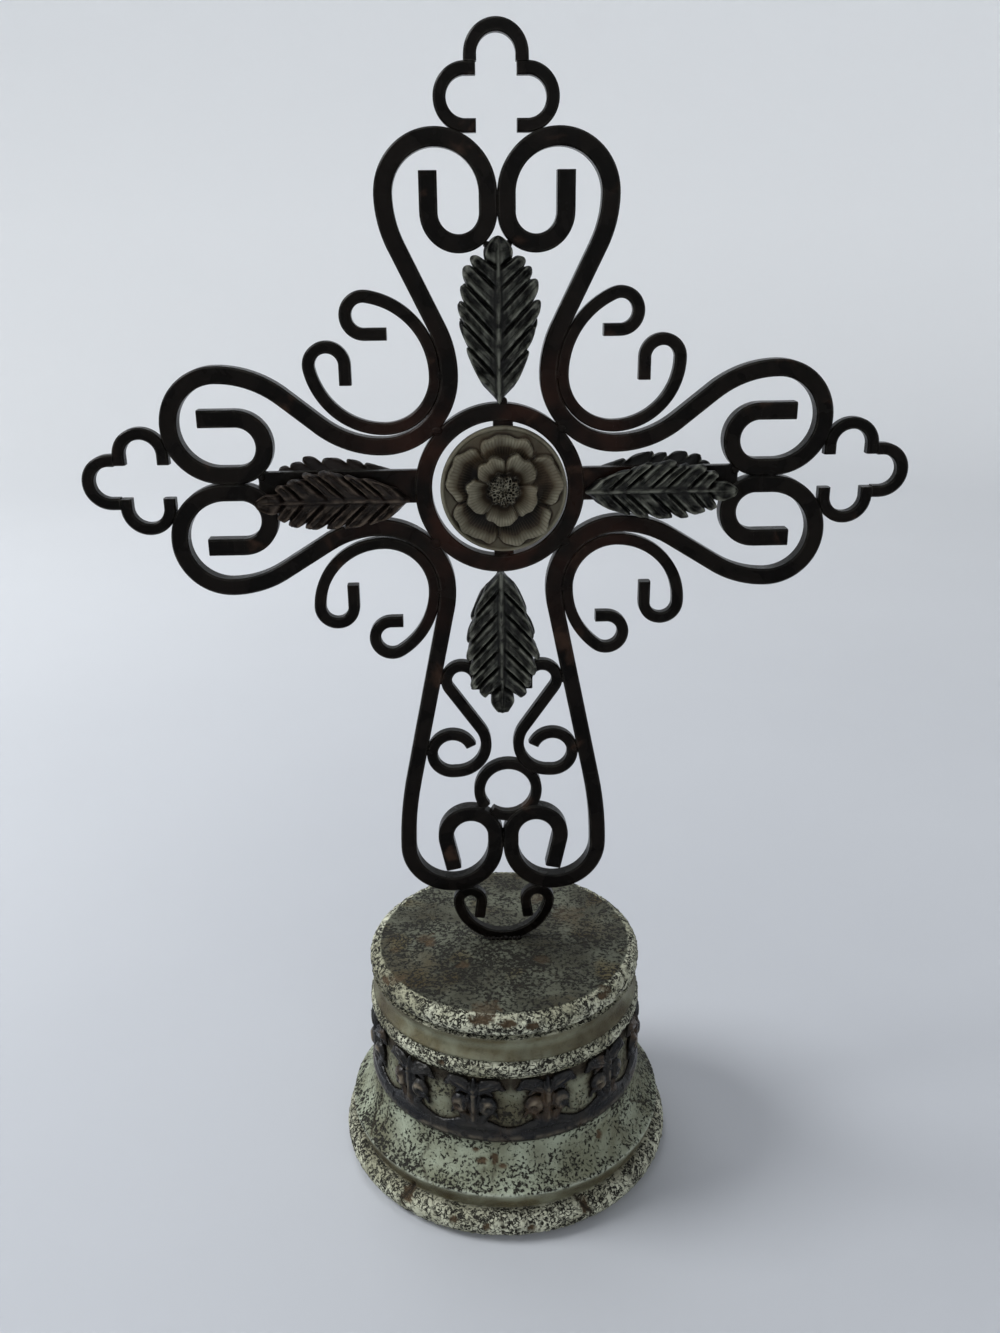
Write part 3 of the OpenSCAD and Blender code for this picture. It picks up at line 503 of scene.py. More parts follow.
px, pz = r * np.cos(np.radians(a)), r * np.sin(np.radians(a))
heart = int(np.searchsorted(r[:, 0], 6.6))


def seed_gap(x, z):
    """How far a point of the heart lies inside its own seed."""
    nearest, second = noise.voronoi(Vector((x * 1.05, z * 1.05, 0.3)))[0][:2]
    return min(second - nearest, 1)


net = np.array([[seed_gap(x, z) for x, z in zip(row_x, row_z)]
                for row_x, row_z in zip(px[:heart], pz[:heart])])
boss = np.zeros_like(height)
boss[:heart] = 5.6 + 0.45 * (1 - (r[:heart] / 6) ** 2) - 2.0 * step(0.06, 0.45, net)
height = height + (boss - height) * (1 - step(5.0, 6.2, r + 0.5 * np.sin(np.radians(9 * a))))
# The ridge value sets the brushed pale on raised parts and, where it is low, painted shade in the hollows,
# the folds, beside the inner petals and in the heart
ridge_out = (0.05 + 0.95 * step(0.70, 0.98, share_out)) * (1 - 0.9 * fold_out)
ridge_in = (0.16 + 0.84 * step(0.42, 0.93, share_in)) * (1 - 0.6 * fold_in)
ridge = np.where(share_in < 1.01, ridge_in,
                 np.where(share_out < 1.01, ridge_out, 0.16 + 0.42 * step(1.0, 1.09, share_out)))
ridge = np.where(r / rose_r > 0.935, 0.85, ridge)
ridge = ridge * (1 - 0.6 * (share_in > 1.01) * (1 - step(1.0, 1.22, share_in)))
ridge[:heart] = np.where(r[:heart] < 5.6, np.clip((height[:heart] - 4.2) / 2.6, 0, 0.75), ridge[:heart])
ribbed = 0.5 + 4.2 * (ribs_out * (share_out < 1) * (share_in > 1) + ribs_in * (share_in < 1))
front = np.stack([px, -height, pz], -1).reshape(-1, 3)
back = np.array([(rose_r * np.cos(t), 0, rose_r * np.sin(t)) for t in np.radians(a[0])] + [(0, 0, 0)])
points = np.concatenate([front, back]) / 1000 + np.array([rose_at.x, rose_hi.y, rose_at.z])
n = rows * columns
i, j = np.meshgrid(np.arange(rows - 1), np.arange(columns), indexing="ij")
k = (j + 1) % columns
quads = np.stack([i * columns + j, (i + 1) * columns + j, (i + 1) * columns + k, i * columns + k],
                 -1).reshape(-1, 4)
j = np.arange(columns)
k = (j + 1) % columns
wall = np.stack([(rows - 1) * columns + j, n + j, n + k, (rows - 1) * columns + k], 1)
faces = ([tuple(q) for q in np.concatenate([quads, wall])]
         + [(n + p, n + columns, n + q) for p, q in zip(j, k)])
rose = make_mesh("rose_casting", points, faces, {
    "ridge": np.concatenate([ridge.ravel(), np.full(columns + 1, 0.1)]),
    "rib": np.concatenate([ribbed.ravel(), np.full(columns + 1, 0.5)])})


def merge_and_turn_out(obj):
    """Joins doubled points, drops loose ones, then turns every face outwards."""
    work = bmesh.new()
    work.from_mesh(obj.data)
    bmesh.ops.remove_doubles(work, verts=work.verts, dist=1e-6)
    bmesh.ops.delete(work, geom=[v for v in work.verts if not v.link_faces], context="VERTS")
    bmesh.ops.recalc_face_normals(work, faces=work.faces)
    work.to_mesh(obj.data)
    work.free()


merge_and_turn_out(rose)
brushed_rose, tree = blank_material("brushed_rose")
ridge_at = put(tree, "ShaderNodeAttribute", attribute_name="ridge").outputs["Fac"]
rib_at = put(tree, "ShaderNodeAttribute", attribute_name="rib").outputs["Fac"]
smudge = use(tree, patches, Scale=120.0, Low=0.3, High=0.66, Detail=5.0)
# Painted shade: near black where the ridge value is low, the brown ground above it
ground_out_of_hollow_shade = spread(tree, ridge_at, 0.05, 0.45)
raised = spread(tree, ridge_at, 0.35, 0.95)
raised = math_of(tree, "MULTIPLY", raised, spread(tree, smudge.outputs["Mask"], to_low=0.45, to_high=1.0))
colour = blend_colour(tree, ground_out_of_hollow_shade, (0.0035, 0.0022, 0.0014), (0.030, 0.020, 0.011))
colour = blend_colour(tree, raised, colour, (0.200, 0.188, 0.135))
stripe = spread(tree, rib_at, 0.5, 0.1, to_high=0.5)
colour = blend_colour(tree, stripe, colour, (0.06, 0.045, 0.026))
warm = use(tree, patches, Scale=60.0, Low=0.5, High=0.7)
colour = blend_colour(tree, math_of(tree, "MULTIPLY", warm.outputs["Mask"], 0.45), colour,
                      (0.075, 0.05, 0.027))
lit_edge = use(tree, edge_wear_and_highlight, Width=0.0005, Gain=4.0, Break=400.0)
colour = blend_colour(tree, math_of(tree, "MULTIPLY", lit_edge.outputs["Mask"], 0.6), colour,
                      (0.42, 0.41, 0.33))
grain = put(tree, "ShaderNodeTexNoise", {"Vector": put(tree, "ShaderNodeTexCoord").outputs["Object"],
                                         "Scale": 1800.0, "Detail": 4.0}).outputs["Fac"]
bumpy = put(tree, "ShaderNodeBump", {"Height": grain, "Strength": 0.35, "Distance": 0.0003}).outputs[0]
rough = spread(tree, smudge.outputs["Grain"], to_low=0.42, to_high=0.7)
skin = put(tree, "ShaderNodeBsdfPrincipled", {"Base Color": colour, "Roughness": rough, "Normal": bumpy,
                                              "Specular IOR Level": 0.15})
put(tree, "ShaderNodeOutputMaterial", {"Surface": skin.outputs[0]})
rose.data.materials.append(brushed_rose)
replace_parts(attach(rose, "root"), "rose")

# ---- Band --------------------------------------------------------------------------------
# A pierced strip of thin pressed metal wrapped round the base under its top: a scalloped
# rail, leaf-like uprights with a curl at each side, and pointed wings that meet along the
# top. The gaps between them show the dark olive plaster behind, darkened further by painted
# shade round the metal and under the top. Gunmetal with bronze rub marks, and painted shade
# in its low parts.
band_lo, band_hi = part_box("base_band")
band_r = (band_hi.x - band_lo.x) / 2 * 1000
band_high = (band_hi.z - band_lo.z) * 1000
pitch = 2 * math.pi * band_r / 12
columns, rows = 81, 72


def band_shape(around, high):
    """How far a point lies inside the metal, for each part of one repeat."""
    def stroke(points, half_widths):
        best = np.full(around.shape, -9.0)
        for (x0, h0), (x1, h1), w0, w1 in zip(points, points[1:], half_widths, half_widths[1:]):
            t = np.clip(((around - x0) * (x1 - x0) + (high - h0) * (h1 - h0))
                        / ((x1 - x0) ** 2 + (h1 - h0) ** 2), 0, 1)
            gap = np.hypot(around - x0 - t * (x1 - x0), high - h0 - t * (h1 - h0))
            best = np.maximum(best, w0 + (w1 - w0) * t - gap)
        return best

    scallop = 7.8 + 2.3 * np.cos(2 * math.pi * around / pitch)
    return {"rail": scallop - high,
            "upright": stroke([(0, 6), (0, 12), (0, 18), (0, 23.5), (0, 28.0)], [3.6, 2.2, 3.1, 2.6, 0.6]),
            "knob": 4.2 - np.hypot(around - 5.4, (high - 16.0) * 0.95),
            "stem": stroke([(5.6, 12.6), (3.2, 8.4)], [1.5, 2.0]),
            "hook": stroke([(5.4, 13.2), (8.6, 12.6), (9.6, 10.2)], [1.1, 0.9, 0.3]),
            "wing": stroke([(1.2, 22.4), (4.6, 25.0), (8.8, 25.9), (12.6, 23.6)], [2.4, 3.1, 2.6, 0.5]),
            "barb": stroke([(4.0, 24.0), (7.6, 20.6)], [2.0, 0.4])}


ms, mh = np.meshgrid(np.linspace(0, pitch, columns), np.linspace(0, band_high, rows))
around = np.abs(ms / pitch - 0.5) * pitch
shapes = band_shape(around, mh)
inside = np.maximum.reduce(list(shapes.values()))
relief = 2.1 * np.sqrt(np.clip(inside / 2.4, 0, 1))
relief = relief + 0.35 * (shapes["rail"] > 0) * np.exp(-(((mh - 1.5) / 1.0) ** 2))
relief = relief - 0.55 * (shapes["rail"] > 1.2) * np.exp(-(((mh - 4.0) / 1.3) ** 2)) * (around < 11)
relief = relief + 0.35 * np.exp(-((around / 0.9) ** 2)) * (shapes["upright"] > 0.3) * (mh > 9)
relief = relief - 0.5 * np.exp(-(((around - 1.9) / 0.4) ** 2)) * (shapes["upright"] > 0) * (mh > 13)
from_knob = np.hypot(around - 5.4, (mh - 16.0) * 0.95)
relief = relief + (shapes["knob"] > 0) * (1.1 * np.sqrt(np.clip(1 - (from_knob / 4.2) ** 2, 0, 1))
                                          - 2.0 * np.exp(
    -((np.hypot(around - 6.3, mh - 15.2) / 1.5) ** 2)))
relief = relief + 0.3 * np.cos(2 * math.pi * (mh - 0.5 * around) / 2.3) * (shapes["wing"] > 0.6)
grid_step = pitch / (columns - 1)
slope_x, slope_h = np.gradient(inside, grid_step, axis=1), np.gradient(inside, band_high / (rows - 1), axis=0)
steep = slope_x**2 + slope_h**2 + 1e-6
near_edge = (np.abs(inside) < 0.95 * grid_step)
inner_column = (np.arange(columns) > 0) & (np.arange(columns) < columns - 1)
pull_x = np.where(near_edge & inner_column[None, :], np.clip(-inside * slope_x / steep, -0.28, 0.28), 0)
pull_h = np.where(near_edge, np.clip(-inside * slope_h / steep, -0.28, 0.28), 0)
pull_h[0] = pull_h[-1] = 0
ms, mh = ms + pull_x, mh + pull_h
keep = inside + 0.45 * grid_step > 0
cell = keep[:-1, :-1] & keep[1:, :-1] & keep[:-1, 1:] & keep[1:, 1:]
points = [(s, rel, h) for s, rel, h in zip(ms.ravel(), relief.ravel(), mh.ravel())]
points += [(s, 0.0, h) for s, h in zip(ms.ravel(), mh.ravel())]
n = rows * columns
faces = []
for i, j in zip(*np.nonzero(cell)):
    p, q, w, v = i * columns + j, i * columns + j + 1, (i + 1) * columns + j + 1, (i + 1) * columns + j
    faces += [(p, q, w, v), (n + v, n + w, n + q, n + p)]
    for (di, dj), (b, c) in (((-1, 0), (p, q)), ((1, 0), (w, v)), ((0, -1), (v, p)), ((0, 1), (q, w))):
        i2, j2 = i + di, j + dj
        if not 0 <= i2 < rows - 1 or (0 <= j2 < columns - 1 and not cell[i2, j2]):
            faces.append((c, b, n + b, n + c))
motif = make_mesh("band_repeat", np.array(points) / 1000, faces,
                  {"raised": np.concatenate([relief.ravel() / 3.0, np.zeros(n)])})

band_metal, tree = blank_material("rubbed_gunmetal")
raised_at = put(tree, "ShaderNodeAttribute", attribute_name="raised").outputs["Fac"]
spot = put(tree, "ShaderNodeTexCoord").outputs["Object"]
tarnish = use(tree, patches, Scale=75.0, Low=0.42, High=0.62, Detail=5.0)
colour = blend_colour(tree, tarnish.outputs["Mask"], (0.0045, 0.0047, 0.0058), (0.014, 0.013, 0.0115))
bronze = use(tree, patches, Scale=60.0, Low=0.54, High=0.70, Detail=5.0)
colour = blend_colour(tree, math_of(tree, "MULTIPLY", bronze.outputs["Mask"], 0.6), colour,
                      (0.075, 0.045, 0.021))
high = spread(tree, raised_at, 0.68, 1.0)
rubbing = use(tree, patches, Scale=240.0, Low=0.36, High=0.62, Detail=4.0)
high = math_of(tree, "MULTIPLY", high, rubbing.outputs["Mask"])
colour = blend_colour(tree, math_of(tree, "MULTIPLY", high, 0.75), colour, (0.24, 0.20, 0.14))
# Painted shade: the low parts of the relief, the knob hollows and the back of the strip darkened nearly to
# black
low = spread(tree, raised_at, 0.4, 0.1, to_high=0.8)
colour = blend_colour(tree, low, colour, (0.010, 0.009, 0.007))
grain = put(tree, "ShaderNodeTexNoise", {"Vector": spot, "Scale": 900.0, "Detail": 5.0}).outputs["Fac"]
bumpy = put(tree, "ShaderNodeBump", {"Height": grain, "Strength": 0.5, "Distance": 0.0004}).outputs[0]
rough = spread(tree, rubbing.outputs["Grain"], to_low=0.16, to_high=0.44)
skin = put(tree, "ShaderNodeBsdfPrincipled", {"Base Color": colour, "Roughness": rough, "Normal": bumpy,
                                              "Metallic": 0.2, "Specular IOR Level": 0.25})
put(tree, "ShaderNodeOutputMaterial", {"Surface": skin.outputs[0]})

tree = bpy.data.node_groups.new("band_round_base", "GeometryNodeTree")
tree.interface.new_socket("Geometry", in_out="INPUT", socket_type="NodeSocketGeometry")
count_in = tree.interface.new_socket("Repeats", in_out="INPUT", socket_type="NodeSocketInt")
radius_in = tree.interface.new_socket("Band radius", in_out="INPUT", socket_type="NodeSocketFloat")
foot_in = tree.interface.new_socket("Foot height", in_out="INPUT", socket_type="NodeSocketFloat")
thick_in = tree.interface.new_socket("Metal behind", in_out="INPUT", socket_type="NodeSocketFloat")
tree.interface.new_socket("Geometry", in_out="OUTPUT", socket_type="NodeSocketGeometry")
given, result = tree.nodes.new("NodeGroupInput"), tree.nodes.new("NodeGroupOutput")
row = put(tree, "GeometryNodeMeshLine", {"Count": given.outputs["Repeats"]}, mode="OFFSET")
arc = math_of(tree, "MULTIPLY", given.outputs["Band radius"], 2 * math.pi)
one = math_of(tree, "DIVIDE", arc, given.outputs["Repeats"])
step_by = put(tree, "ShaderNodeCombineXYZ", {"X": one})
tree.links.new(step_by.outputs[0], row.inputs["Offset"])
copies = put(tree, "GeometryNodeInstanceOnPoints",
             {"Points": row.outputs[0], "Instance": given.outputs["Geometry"]})
real = put(tree, "GeometryNodeRealizeInstances", {0: copies.outputs[0]})
flat = put(tree, "ShaderNodeSeparateXYZ", {0: put(tree, "GeometryNodeInputPosition").outputs[0]})
turn = math_of(tree, "DIVIDE", flat.outputs["X"], given.outputs["Band radius"])
out_at = math_of(tree, "ADD", flat.outputs["Y"], given.outputs["Band radius"])
out_at = math_of(tree, "SUBTRACT", out_at, given.outputs["Metal behind"])
sine, cosine = (math_of(tree, how, turn, 0.0) for how in ("SINE", "COSINE"))
up_at = math_of(tree, "ADD", flat.outputs["Z"], given.outputs["Foot height"])
wrapped = put(tree, "ShaderNodeCombineXYZ", {"X": math_of(tree, "MULTIPLY", out_at, sine), "Z": up_at,
              "Y": math_of(tree, "MULTIPLY", math_of(tree, "MULTIPLY", out_at, cosine), -1.0)})
placed = put(tree, "GeometryNodeSetPosition", {"Geometry": real.outputs[0], "Position": wrapped.outputs[0]})
joined = put(tree, "GeometryNodeMergeByDistance", {"Geometry": placed.outputs[0], "Distance": 0.00002})
smooth = put(tree, "GeometryNodeSetShadeSmooth", {0: joined.outputs[0]})
finished = put(tree, "GeometryNodeSetMaterial", {"Geometry": smooth.outputs[0], "Material": band_metal})
tree.links.new(finished.outputs[0], result.inputs[0])
grown(motif, tree, [(count_in, 12), (radius_in, band_r / 1000), (foot_in, band_lo.z), (thick_in, 0.0016)])


merge_and_turn_out(motif)
motif.name = motif.data.name = "pierced_band"
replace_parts(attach(motif, "root"), "base_band")

# ---- Base --------------------------------------------------------------------------------
# A turned base, taken to be plaster, painted pale green: a worm-like crackle on its
# rims, long cracks and chips on the skirt, brown staining in the grooves and on the flat top,
# with painted shade in the corners of the grooves and on the waist behind the band.
corners = np.array([v.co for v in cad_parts["base"].data.vertices]) * 1000
from_axis = np.hypot(corners[:, 0], corners[:, 1])
levels = np.unique(np.round(corners[:, 2], 2))[::-1]
cut = [(float(from_axis[np.abs(corners[:, 2] - z) < 0.02].max()), float(z)) for z in levels]
outline = [(r, cut[0][1]) for r in np.linspace(0.4, cut[0][0] - 0.9, 40)]
for (r0, z0), (r1, z1) in zip(cut, cut[1:]):
    parts = max(1, round(math.hypot(r1 - r0, z1 - z0)
                         / (0.95 if band_lo.z * 1000 + 1 < z0 < band_hi.z * 1000 + 1 else 0.7)))
    outline += [(r0 + (r1 - r0) * k / parts, z0 + (z1 - z0) * k / parts) for k in range(parts)]
outline += [cut[-1], (cut[-1][0] - 3, 0.0), (30, 0.0), (0.4, 0.0)]
outline = np.array(outline)
kept_rows = [0] + [k for k in range(1, len(outline)) if math.dist(outline[k], outline[k - 1]) > 0.12]
outline = outline[kept_rows]
rows, columns = len(outline), 450
run = np.gradient(outline, axis=0)
out_way = np.stack([-run[:, 1], run[:, 0]], 1) / np.hypot(run[:, 0], run[:, 1])[:, None]
angle = np.linspace(-180, 180, columns, endpoint=False)
pr, pz = outline[:, 0][:, None] + 0 * angle, outline[:, 1][:, None] + 0 * angle
px, py = pr * np.sin(np.radians(angle)), -pr * np.cos(np.radians(angle))
rim_z, cove_z, bead_z, waist_z, ridge_z, groove_z = 85.4, 75.2, 66.8, 38.0, 20.0, 12.0


def cloud_at(scale, octaves, shift=0.0):
    flat = [noise.fractal(Vector((x * scale + shift, y * scale, z * scale)), 0.9, 2.0, octaves)
            for x, y, z in zip(px.ravel(), py.ravel(), pz.ravel())]
    return np.array(flat).reshape(px.shape)


wide, middling, small = cloud_at(0.055, 3), cloud_at(0.33, 2, 7.0), cloud_at(0.75, 2, 3.0)
on_disc = (pz > cut[0][1] - 0.02) & (pr < cut[0][0] + 0.2)
on_rim = ((pz > rim_z - 0.1) & ~on_disc) | ((pz < cove_z) & (pz > bead_z - 0.1)) | (pz < groove_z)
on_groove = ((pz >= cove_z) & (pz <= rim_z)) | ((pz >= groove_z) & (pz < ridge_z - 0.8))
on_skirt = (pz >= ridge_z - 0.8) & (pz <= waist_z)
in_rough = np.where(on_rim, 1.0, np.where(on_disc, 0.35, np.where(on_groove, 0.0, 0.45)))
rise = in_rough * (0.42 * small + 0.2 * middling) + 0.25 * wide * (on_disc | on_skirt)
rise = rise - 0.35 * np.clip(middling - 0.25, 0, 1) * on_rim


def chip(at_angle, at_z, wide_mm, high_mm, depth):
    """A flake gone from the side, with a ragged edge."""
    gap = (angle - at_angle) * math.pi / 180 * pr
    away = np.hypot(gap / wide_mm, (pz - at_z) / high_mm) + 0.35 * small + 0.2 * middling
    return depth * (1 - step(0.85, 1.1, away)) * ~on_disc


def crack(line, depth, thick=0.45):
    """A crack along a line of (angle, height) on the side."""
    best = np.full(pr.shape, 99.0)
    for (a0, z0), (a1, z1) in zip(line, line[1:]):
        ax, bx = (angle - a0) * math.pi / 180 * pr, (a1 - a0) * math.pi / 180 * pr
        t = np.clip((ax * bx + (pz - z0) * (z1 - z0)) / (bx**2 + (z1 - z0) ** 2 + 1e-6), 0, 1)
        best = np.minimum(best, np.hypot(ax - t * bx + 0.6 * middling, pz - z0 - t * (z1 - z0)))
    return depth * np.exp(-((best / thick) ** 2)) * ~on_disc


def disc_mark(x, y, wide_mm, depth):
    away = np.hypot(px - x, py - y) / wide_mm + 0.5 * middling + 0.3 * small
    return depth * (1 - step(0.7, 1.15, away)) * (on_disc | (pz > 91))


chips = sum(chip(*c) for c in (
    (-14.5, 33.5, 1.6, 1.1, 0.45), (-11.5, 29.5, 2.5, 1.3, 0.5), (-6.5, 30.5, 1.7, 2.2, 0.5),
    (-3.5, 28.0, 1.8, 0.9, 0.4),
    (38, 30, 1.6, 1.9, 0.4), (-20, 8, 1.8, 1.3, 0.5), (-38, 10, 2.4, 2.8, 0.6), (-9, 7, 1.6, 1.6, 0.5),
    (6, 6, 1.8, 1.5, 0.5),
    (25, 9, 2.0, 2.6, 0.6), (-1, 92.5, 3.6, 1.3, 0.5), (-12, 93.2, 4.4, 1.2, 0.45), (9, 91, 2.6, 1.4, 0.45),
    (42, 93, 2.4, 1.1, 0.5), (-62, 93, 3.0, 1.0, 0.5), (130, 30, 3.0, 2.0, 0.45), (-140, 92, 3.0, 1.5, 0.5),
    (170, 28, 2.4, 2.6, 0.45), (95, 8, 2.4, 1.6, 0.5), (-100, 29, 2.4, 1.8, 0.45), (-28, 71, 1.4, 1.0, 0.4)))
cracks = sum(crack(*c) for c in (
    ([(-68, 37), (-66, 31), (-67, 26), (-62, 21)], 0.6), ([(-60, 33), (-59, 27), (-60, 22)], 0.5),
    ([(67, 34), (62, 30), (70, 24)], 0.5), ([(-10, 27), (-12, 22)], 0.35), ([(-6, 28), (-8, 23)], 0.35),
    ([(-37, 14), (-40, 7), (-36, 2)], 0.8, 0.6), ([(23, 12), (27, 6), (26, 1)], 0.8, 0.6),
    ([(-4, 11), (-3, 2)], 0.6),
    ([(-30, 20), (-36, 24), (-34, 30)], 0.4), ([(120, 36), (124, 22)], 0.5), ([(-150, 35), (-146, 24)], 0.5),
    ([(150, 12), (154, 2)], 0.7), ([(60, 95), (55, 88)], 0.5)))
marks = sum(disc_mark(*m) for m in (
    (-33, 0, 4.0, 0.25), (-31, -4, 2.6, 0.25), (-18, -20, 2.4, 0.35), (14.5, -18, 3.4, 0.25),
    (-9, -50, 6.0, 0.3),
    (15, 30, 6.0, 0.2), (28, 16, 7.0, 0.15), (38, -38, 2.4, 0.3), (-44, -28, 3.0, 0.3), (-46, -8, 2.0, 0.2)))
scratch = np.minimum(np.hypot((px - 20) / 17, (py + 4) / 4) - 1, np.hypot((px - 6) / 14, (py + 30) / 5) - 1)
scratch = 0.25 * np.exp(-((scratch / 0.045) ** 2)) * on_disc * (py < -2 + 0.3 * px)
rise = rise - chips - cracks - marks - scratch
free_edge = np.where(pz < 0.8, 0, 1)
behind_band = (pz < bead_z - 0.3) & (pz > waist_z + 0.2)
rise = np.where(behind_band, -1.3 + 0.15 * middling, rise) * free_edge
qr, qz = pr + rise * out_way[:, :1], pz + rise * out_way[:, 1:]
qr = np.maximum(qr, 0.3)
points = np.stack([qr * np.sin(np.radians(angle)), -qr * np.cos(np.radians(angle)), np.maximum(qz, 0)],
                  -1).reshape(-1, 3)
n = rows * columns
i, j = np.meshgrid(np.arange(rows - 1), np.arange(columns), indexing="ij")
k = (j + 1) % columns
quads = np.stack([i * columns + j, (i + 1) * columns + j, (i + 1) * columns + k, i * columns + k],
                 -1).reshape(-1, 4)
faces = [tuple(q) for q in quads]
faces += [(n, j, (j + 1) % columns) for j in range(columns)]
last = (rows - 1) * columns
faces += [(last + j, n + 1, last + (j + 1) % columns) for j in range(columns)]
points = np.concatenate([points, [(0, 0, cut[0][1]), (0, 0, 0)]]) / 1000


def with_ends(values):
    return np.concatenate([np.asarray(values, float).ravel(), [0.0, 0.0]])


# Olive brown at the edges of the grooves: brown staining there, and painted shade in their corners
near_groove = (np.exp(-(((pz - 77.0) / 2.2) ** 2)) + 0.5 * np.exp(-(((pz - 83.5) / 2.0) ** 2))
               + np.exp(-(((pz - 14.0) / 2.6) ** 2)))
stain_and_shade = np.clip(near_groove + 0.6 * on_groove + 0.9 * (wide > 0.25) * on_disc * (wide - 0.25) * 3, 0, 1)
# The waist behind the band goes olive brown all over, partly staining and partly painted shade under the band
waist = (pz > waist_z + 0.2) & (pz < bead_z - 0.2)
stain_and_shade = np.where(waist, 0.62 + 0.3 * np.clip(middling, -1, 1), stain_and_shade)
round_at = np.abs(((angle / 30) % 1) - 0.5) * pitch + 0 * pz
by_metal = np.maximum.reduce(list(band_shape(round_at, pz - band_lo.z * 1000).values()))
# Painted shade on the waist: darker round the edges of the band's metal and under the top of the openings
painted_band_shade = np.where(waist, np.clip(np.exp(np.minimum(by_metal, 0) / 1.6)
                                + step(19, 27, pz - band_lo.z * 1000) * 0.8, 0, 1), 0)
dense = np.where(on_skirt, np.exp(-(((pz - 21.5) / 2.4) ** 2)) + np.exp(-(((pz - 37.5) / 2.6) ** 2))
                 + 0.7 * step(-0.05, 0.5, wide), 0)
dense = np.clip(dense + on_disc * (0.9 * np.exp(-((np.hypot(px, py + 12) / 26) ** 2))), 0, 1)
bright_edge = np.exp(-(((pz - 19.8) / 0.55) ** 2)) * (middling > -0.35)
# Painted shade in a line on the skirt just under the band's rail
painted_band_shade = painted_band_shade + np.where(on_skirt, 0.8 * np.exp(-(((pz - 38.2) / 0.9) ** 2)), 0)
base = make_mesh("plaster_base", points, faces, {
    "coarse": with_ends(on_rim * 1.0), "dense": with_ends(dense), "edge": with_ends(bright_edge),
    "stain_and_shade": with_ends(stain_and_shade),
    "disc": with_ends(on_disc * 1.0), "bare": with_ends(np.clip((chips + marks * 0.9) * 2.6, 0, 1)),
    "cracks_and_shade": with_ends(np.clip((cracks + scratch) * 2.2 + painted_band_shade, 0, 1)),
    "smoothed": with_ends(on_groove * 1.0)})
merge_and_turn_out(base)

crackled_paint, tree = blank_material("crackled_paint")


def painted(key):
    return put(tree, "ShaderNodeAttribute", attribute_name=key).outputs["Fac"]


spot = put(tree, "ShaderNodeTexCoord").outputs["Object"]
coarse_at, stain_and_shade_at, disc_at, bare_at, cracks_and_shade_at, smooth_at = (painted(k) for k in (
    "coarse", "stain_and_shade", "disc", "bare", "cracks_and_shade", "smoothed"))
waver = put(tree, "ShaderNodeTexNoise", {"Vector": spot, "Scale": 420.0, "Detail": 3.0})
shove = put(tree, "ShaderNodeVectorMath", {0: waver.outputs["Color"], "Scale": 0.0015}, operation="SCALE")
bent = put(tree, "ShaderNodeVectorMath", {0: spot, 1: shove.outputs[0]}, operation="ADD").outputs[0]
worms = put(tree, "ShaderNodeTexNoise", {"Vector": bent, "Scale": 520.0, "Detail": 1.0, "Distortion": 0.8})
off_line = math_of(tree, "ABSOLUTE", math_of(tree, "SUBTRACT", worms.outputs["Fac"], 0.5), 0.0)
worm_gap = spread(tree, off_line, 0.085, 0.035)
worm_some = use(tree, patches, Scale=210.0, Low=0.32, High=0.50, Detail=2.0)
worm_gap = math_of(tree, "MULTIPLY", worm_gap, worm_some.outputs["Mask"])
speck_fine = put(tree, "ShaderNodeTexNoise",
                 {"Vector": bent, "Scale": 760.0, "Detail": 3.0, "Roughness": 0.62})
thick_of = use(tree, patches, Scale=75.0, Low=0.30, High=0.70, Detail=4.0)
speck_level = spread(tree, thick_of.outputs["Mask"], to_low=0.63, to_high=0.50)
speck_level = math_of(tree, "SUBTRACT", speck_level, math_of(tree, "MULTIPLY", disc_at, 0.055))
speck_level = math_of(tree, "SUBTRACT", speck_level, math_of(tree, "MULTIPLY", painted("dense"), 0.07))
speck_over = math_of(tree, "SUBTRACT", speck_fine.outputs["Fac"], speck_level)
speck = math_of(tree, "MULTIPLY", speck_over, 14.0, clamp=True)
worm_rim = math_of(tree, "MULTIPLY", worm_gap, coarse_at)
speck = math_of(tree, "MULTIPLY", speck,
                math_of(tree, "SUBTRACT", 1.0, math_of(tree, "MULTIPLY", smooth_at, 0.85)))
dark_by = math_of(tree, "MAXIMUM", speck, worm_rim)
tones = use(tree, patches, Scale=48.0, Low=0.35, High=0.65, Detail=4.0)
paint = blend_colour(tree, tones.outputs["Mask"], (0.160, 0.166, 0.108), (0.325, 0.360, 0.270))
cream = blend_colour(tree, tones.outputs["Mask"], (0.38, 0.375, 0.265), (0.68, 0.68, 0.53))
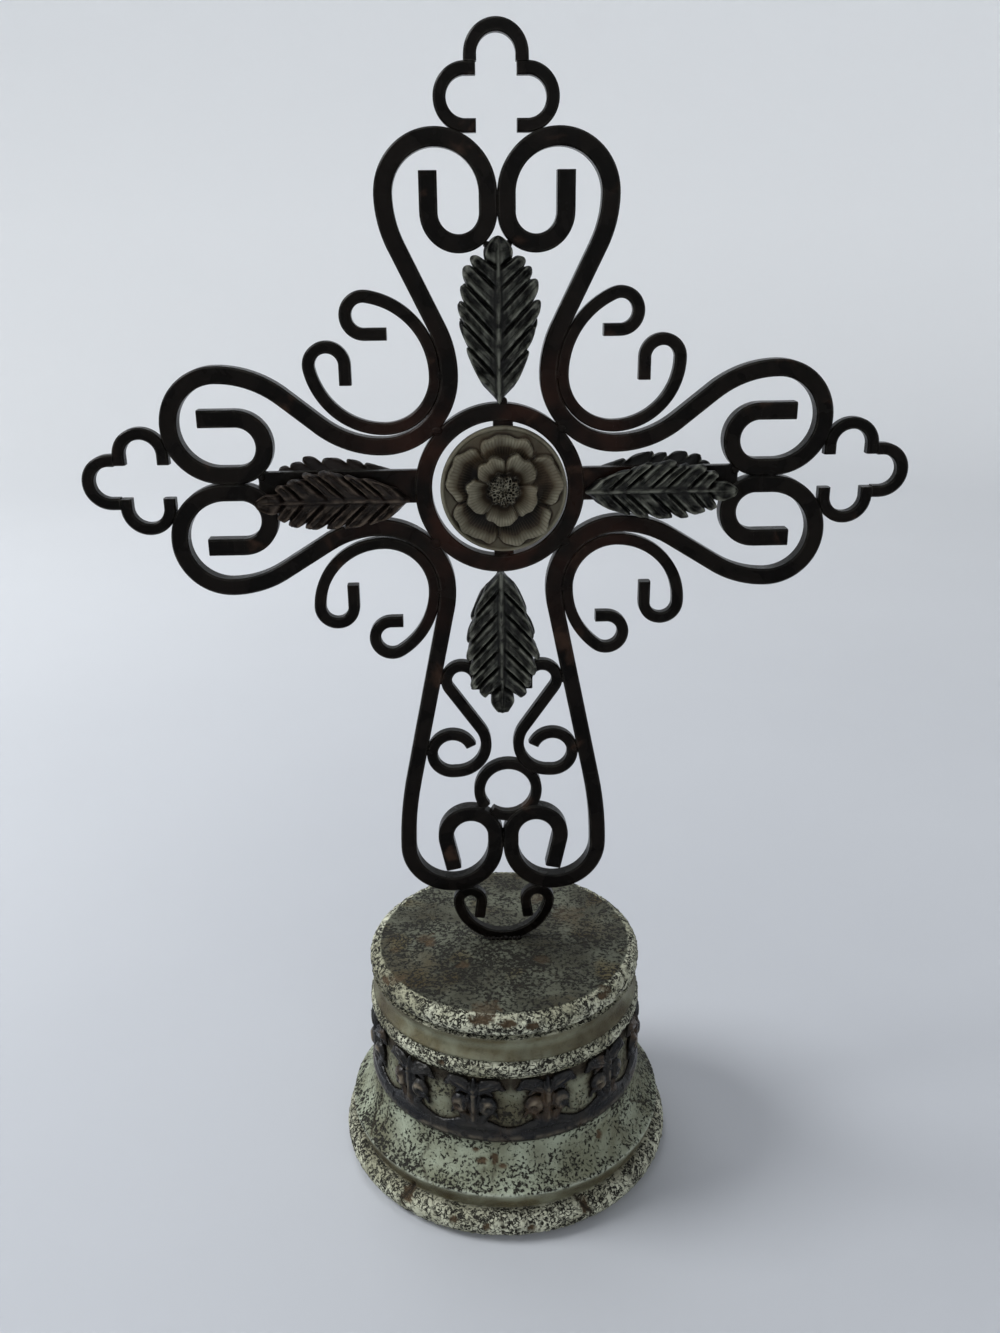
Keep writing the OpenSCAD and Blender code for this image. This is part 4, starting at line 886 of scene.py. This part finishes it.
paint = blend_colour(tree, math_of(tree, "MULTIPLY", coarse_at, 0.8), paint, cream)
grey_disc = blend_colour(tree, tones.outputs["Mask"], (0.046, 0.045, 0.030), (0.105, 0.110, 0.080))
paint = blend_colour(tree, disc_at, paint, grey_disc)
olive = blend_colour(tree, tones.outputs["Mask"], (0.048, 0.035, 0.014), (0.105, 0.088, 0.042))
# Olive staining, with painted shade in the groove corners and on the waist
stain_and_shade_amount = math_of(tree, "MULTIPLY", stain_and_shade_at, spread(tree, thick_of.outputs["Grain"], 0.3, 0.6, 0.5, 0.95))
paint = blend_colour(tree, stain_and_shade_amount, paint, olive)
washed = use(tree, patches, Scale=30.0, Low=0.52, High=0.72, Detail=5.0)
paint = blend_colour(tree, math_of(tree, "MULTIPLY", washed.outputs["Mask"], 0.6), paint,
                     (0.07, 0.056, 0.029))
paint = blend_colour(tree, math_of(tree, "MULTIPLY", painted("edge"), 0.75), paint, (0.42, 0.45, 0.37))
paint = blend_colour(tree, dark_by, paint, (0.013, 0.0115, 0.007))
paint = blend_colour(tree, bare_at, paint, (0.075, 0.050, 0.026))
# Cracks and scratches, with the painted shade round the band, in one dark brown
paint = blend_colour(tree, cracks_and_shade_at, paint, (0.028, 0.021, 0.012))
lower = math_of(tree, "MULTIPLY", dark_by, -1.0)
fine_grain = put(tree, "ShaderNodeTexNoise", {"Vector": spot, "Scale": 1700.0, "Detail": 4.0}).outputs["Fac"]
height = math_of(tree, "ADD", lower, math_of(tree, "MULTIPLY", fine_grain, 0.35))
bumpy = put(tree, "ShaderNodeBump", {"Height": height, "Strength": 1.0, "Distance": 0.0008}).outputs[0]
shine = spread(tree, smooth_at, to_low=0.72, to_high=0.45)
skin = put(tree, "ShaderNodeBsdfPrincipled", {"Base Color": paint, "Roughness": shine, "Normal": bumpy,
                                              "Specular IOR Level": 0.25})
put(tree, "ShaderNodeOutputMaterial", {"Surface": skin.outputs[0]})
base.data.materials.append(crackled_paint)
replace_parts(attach(base, "root"), "base")
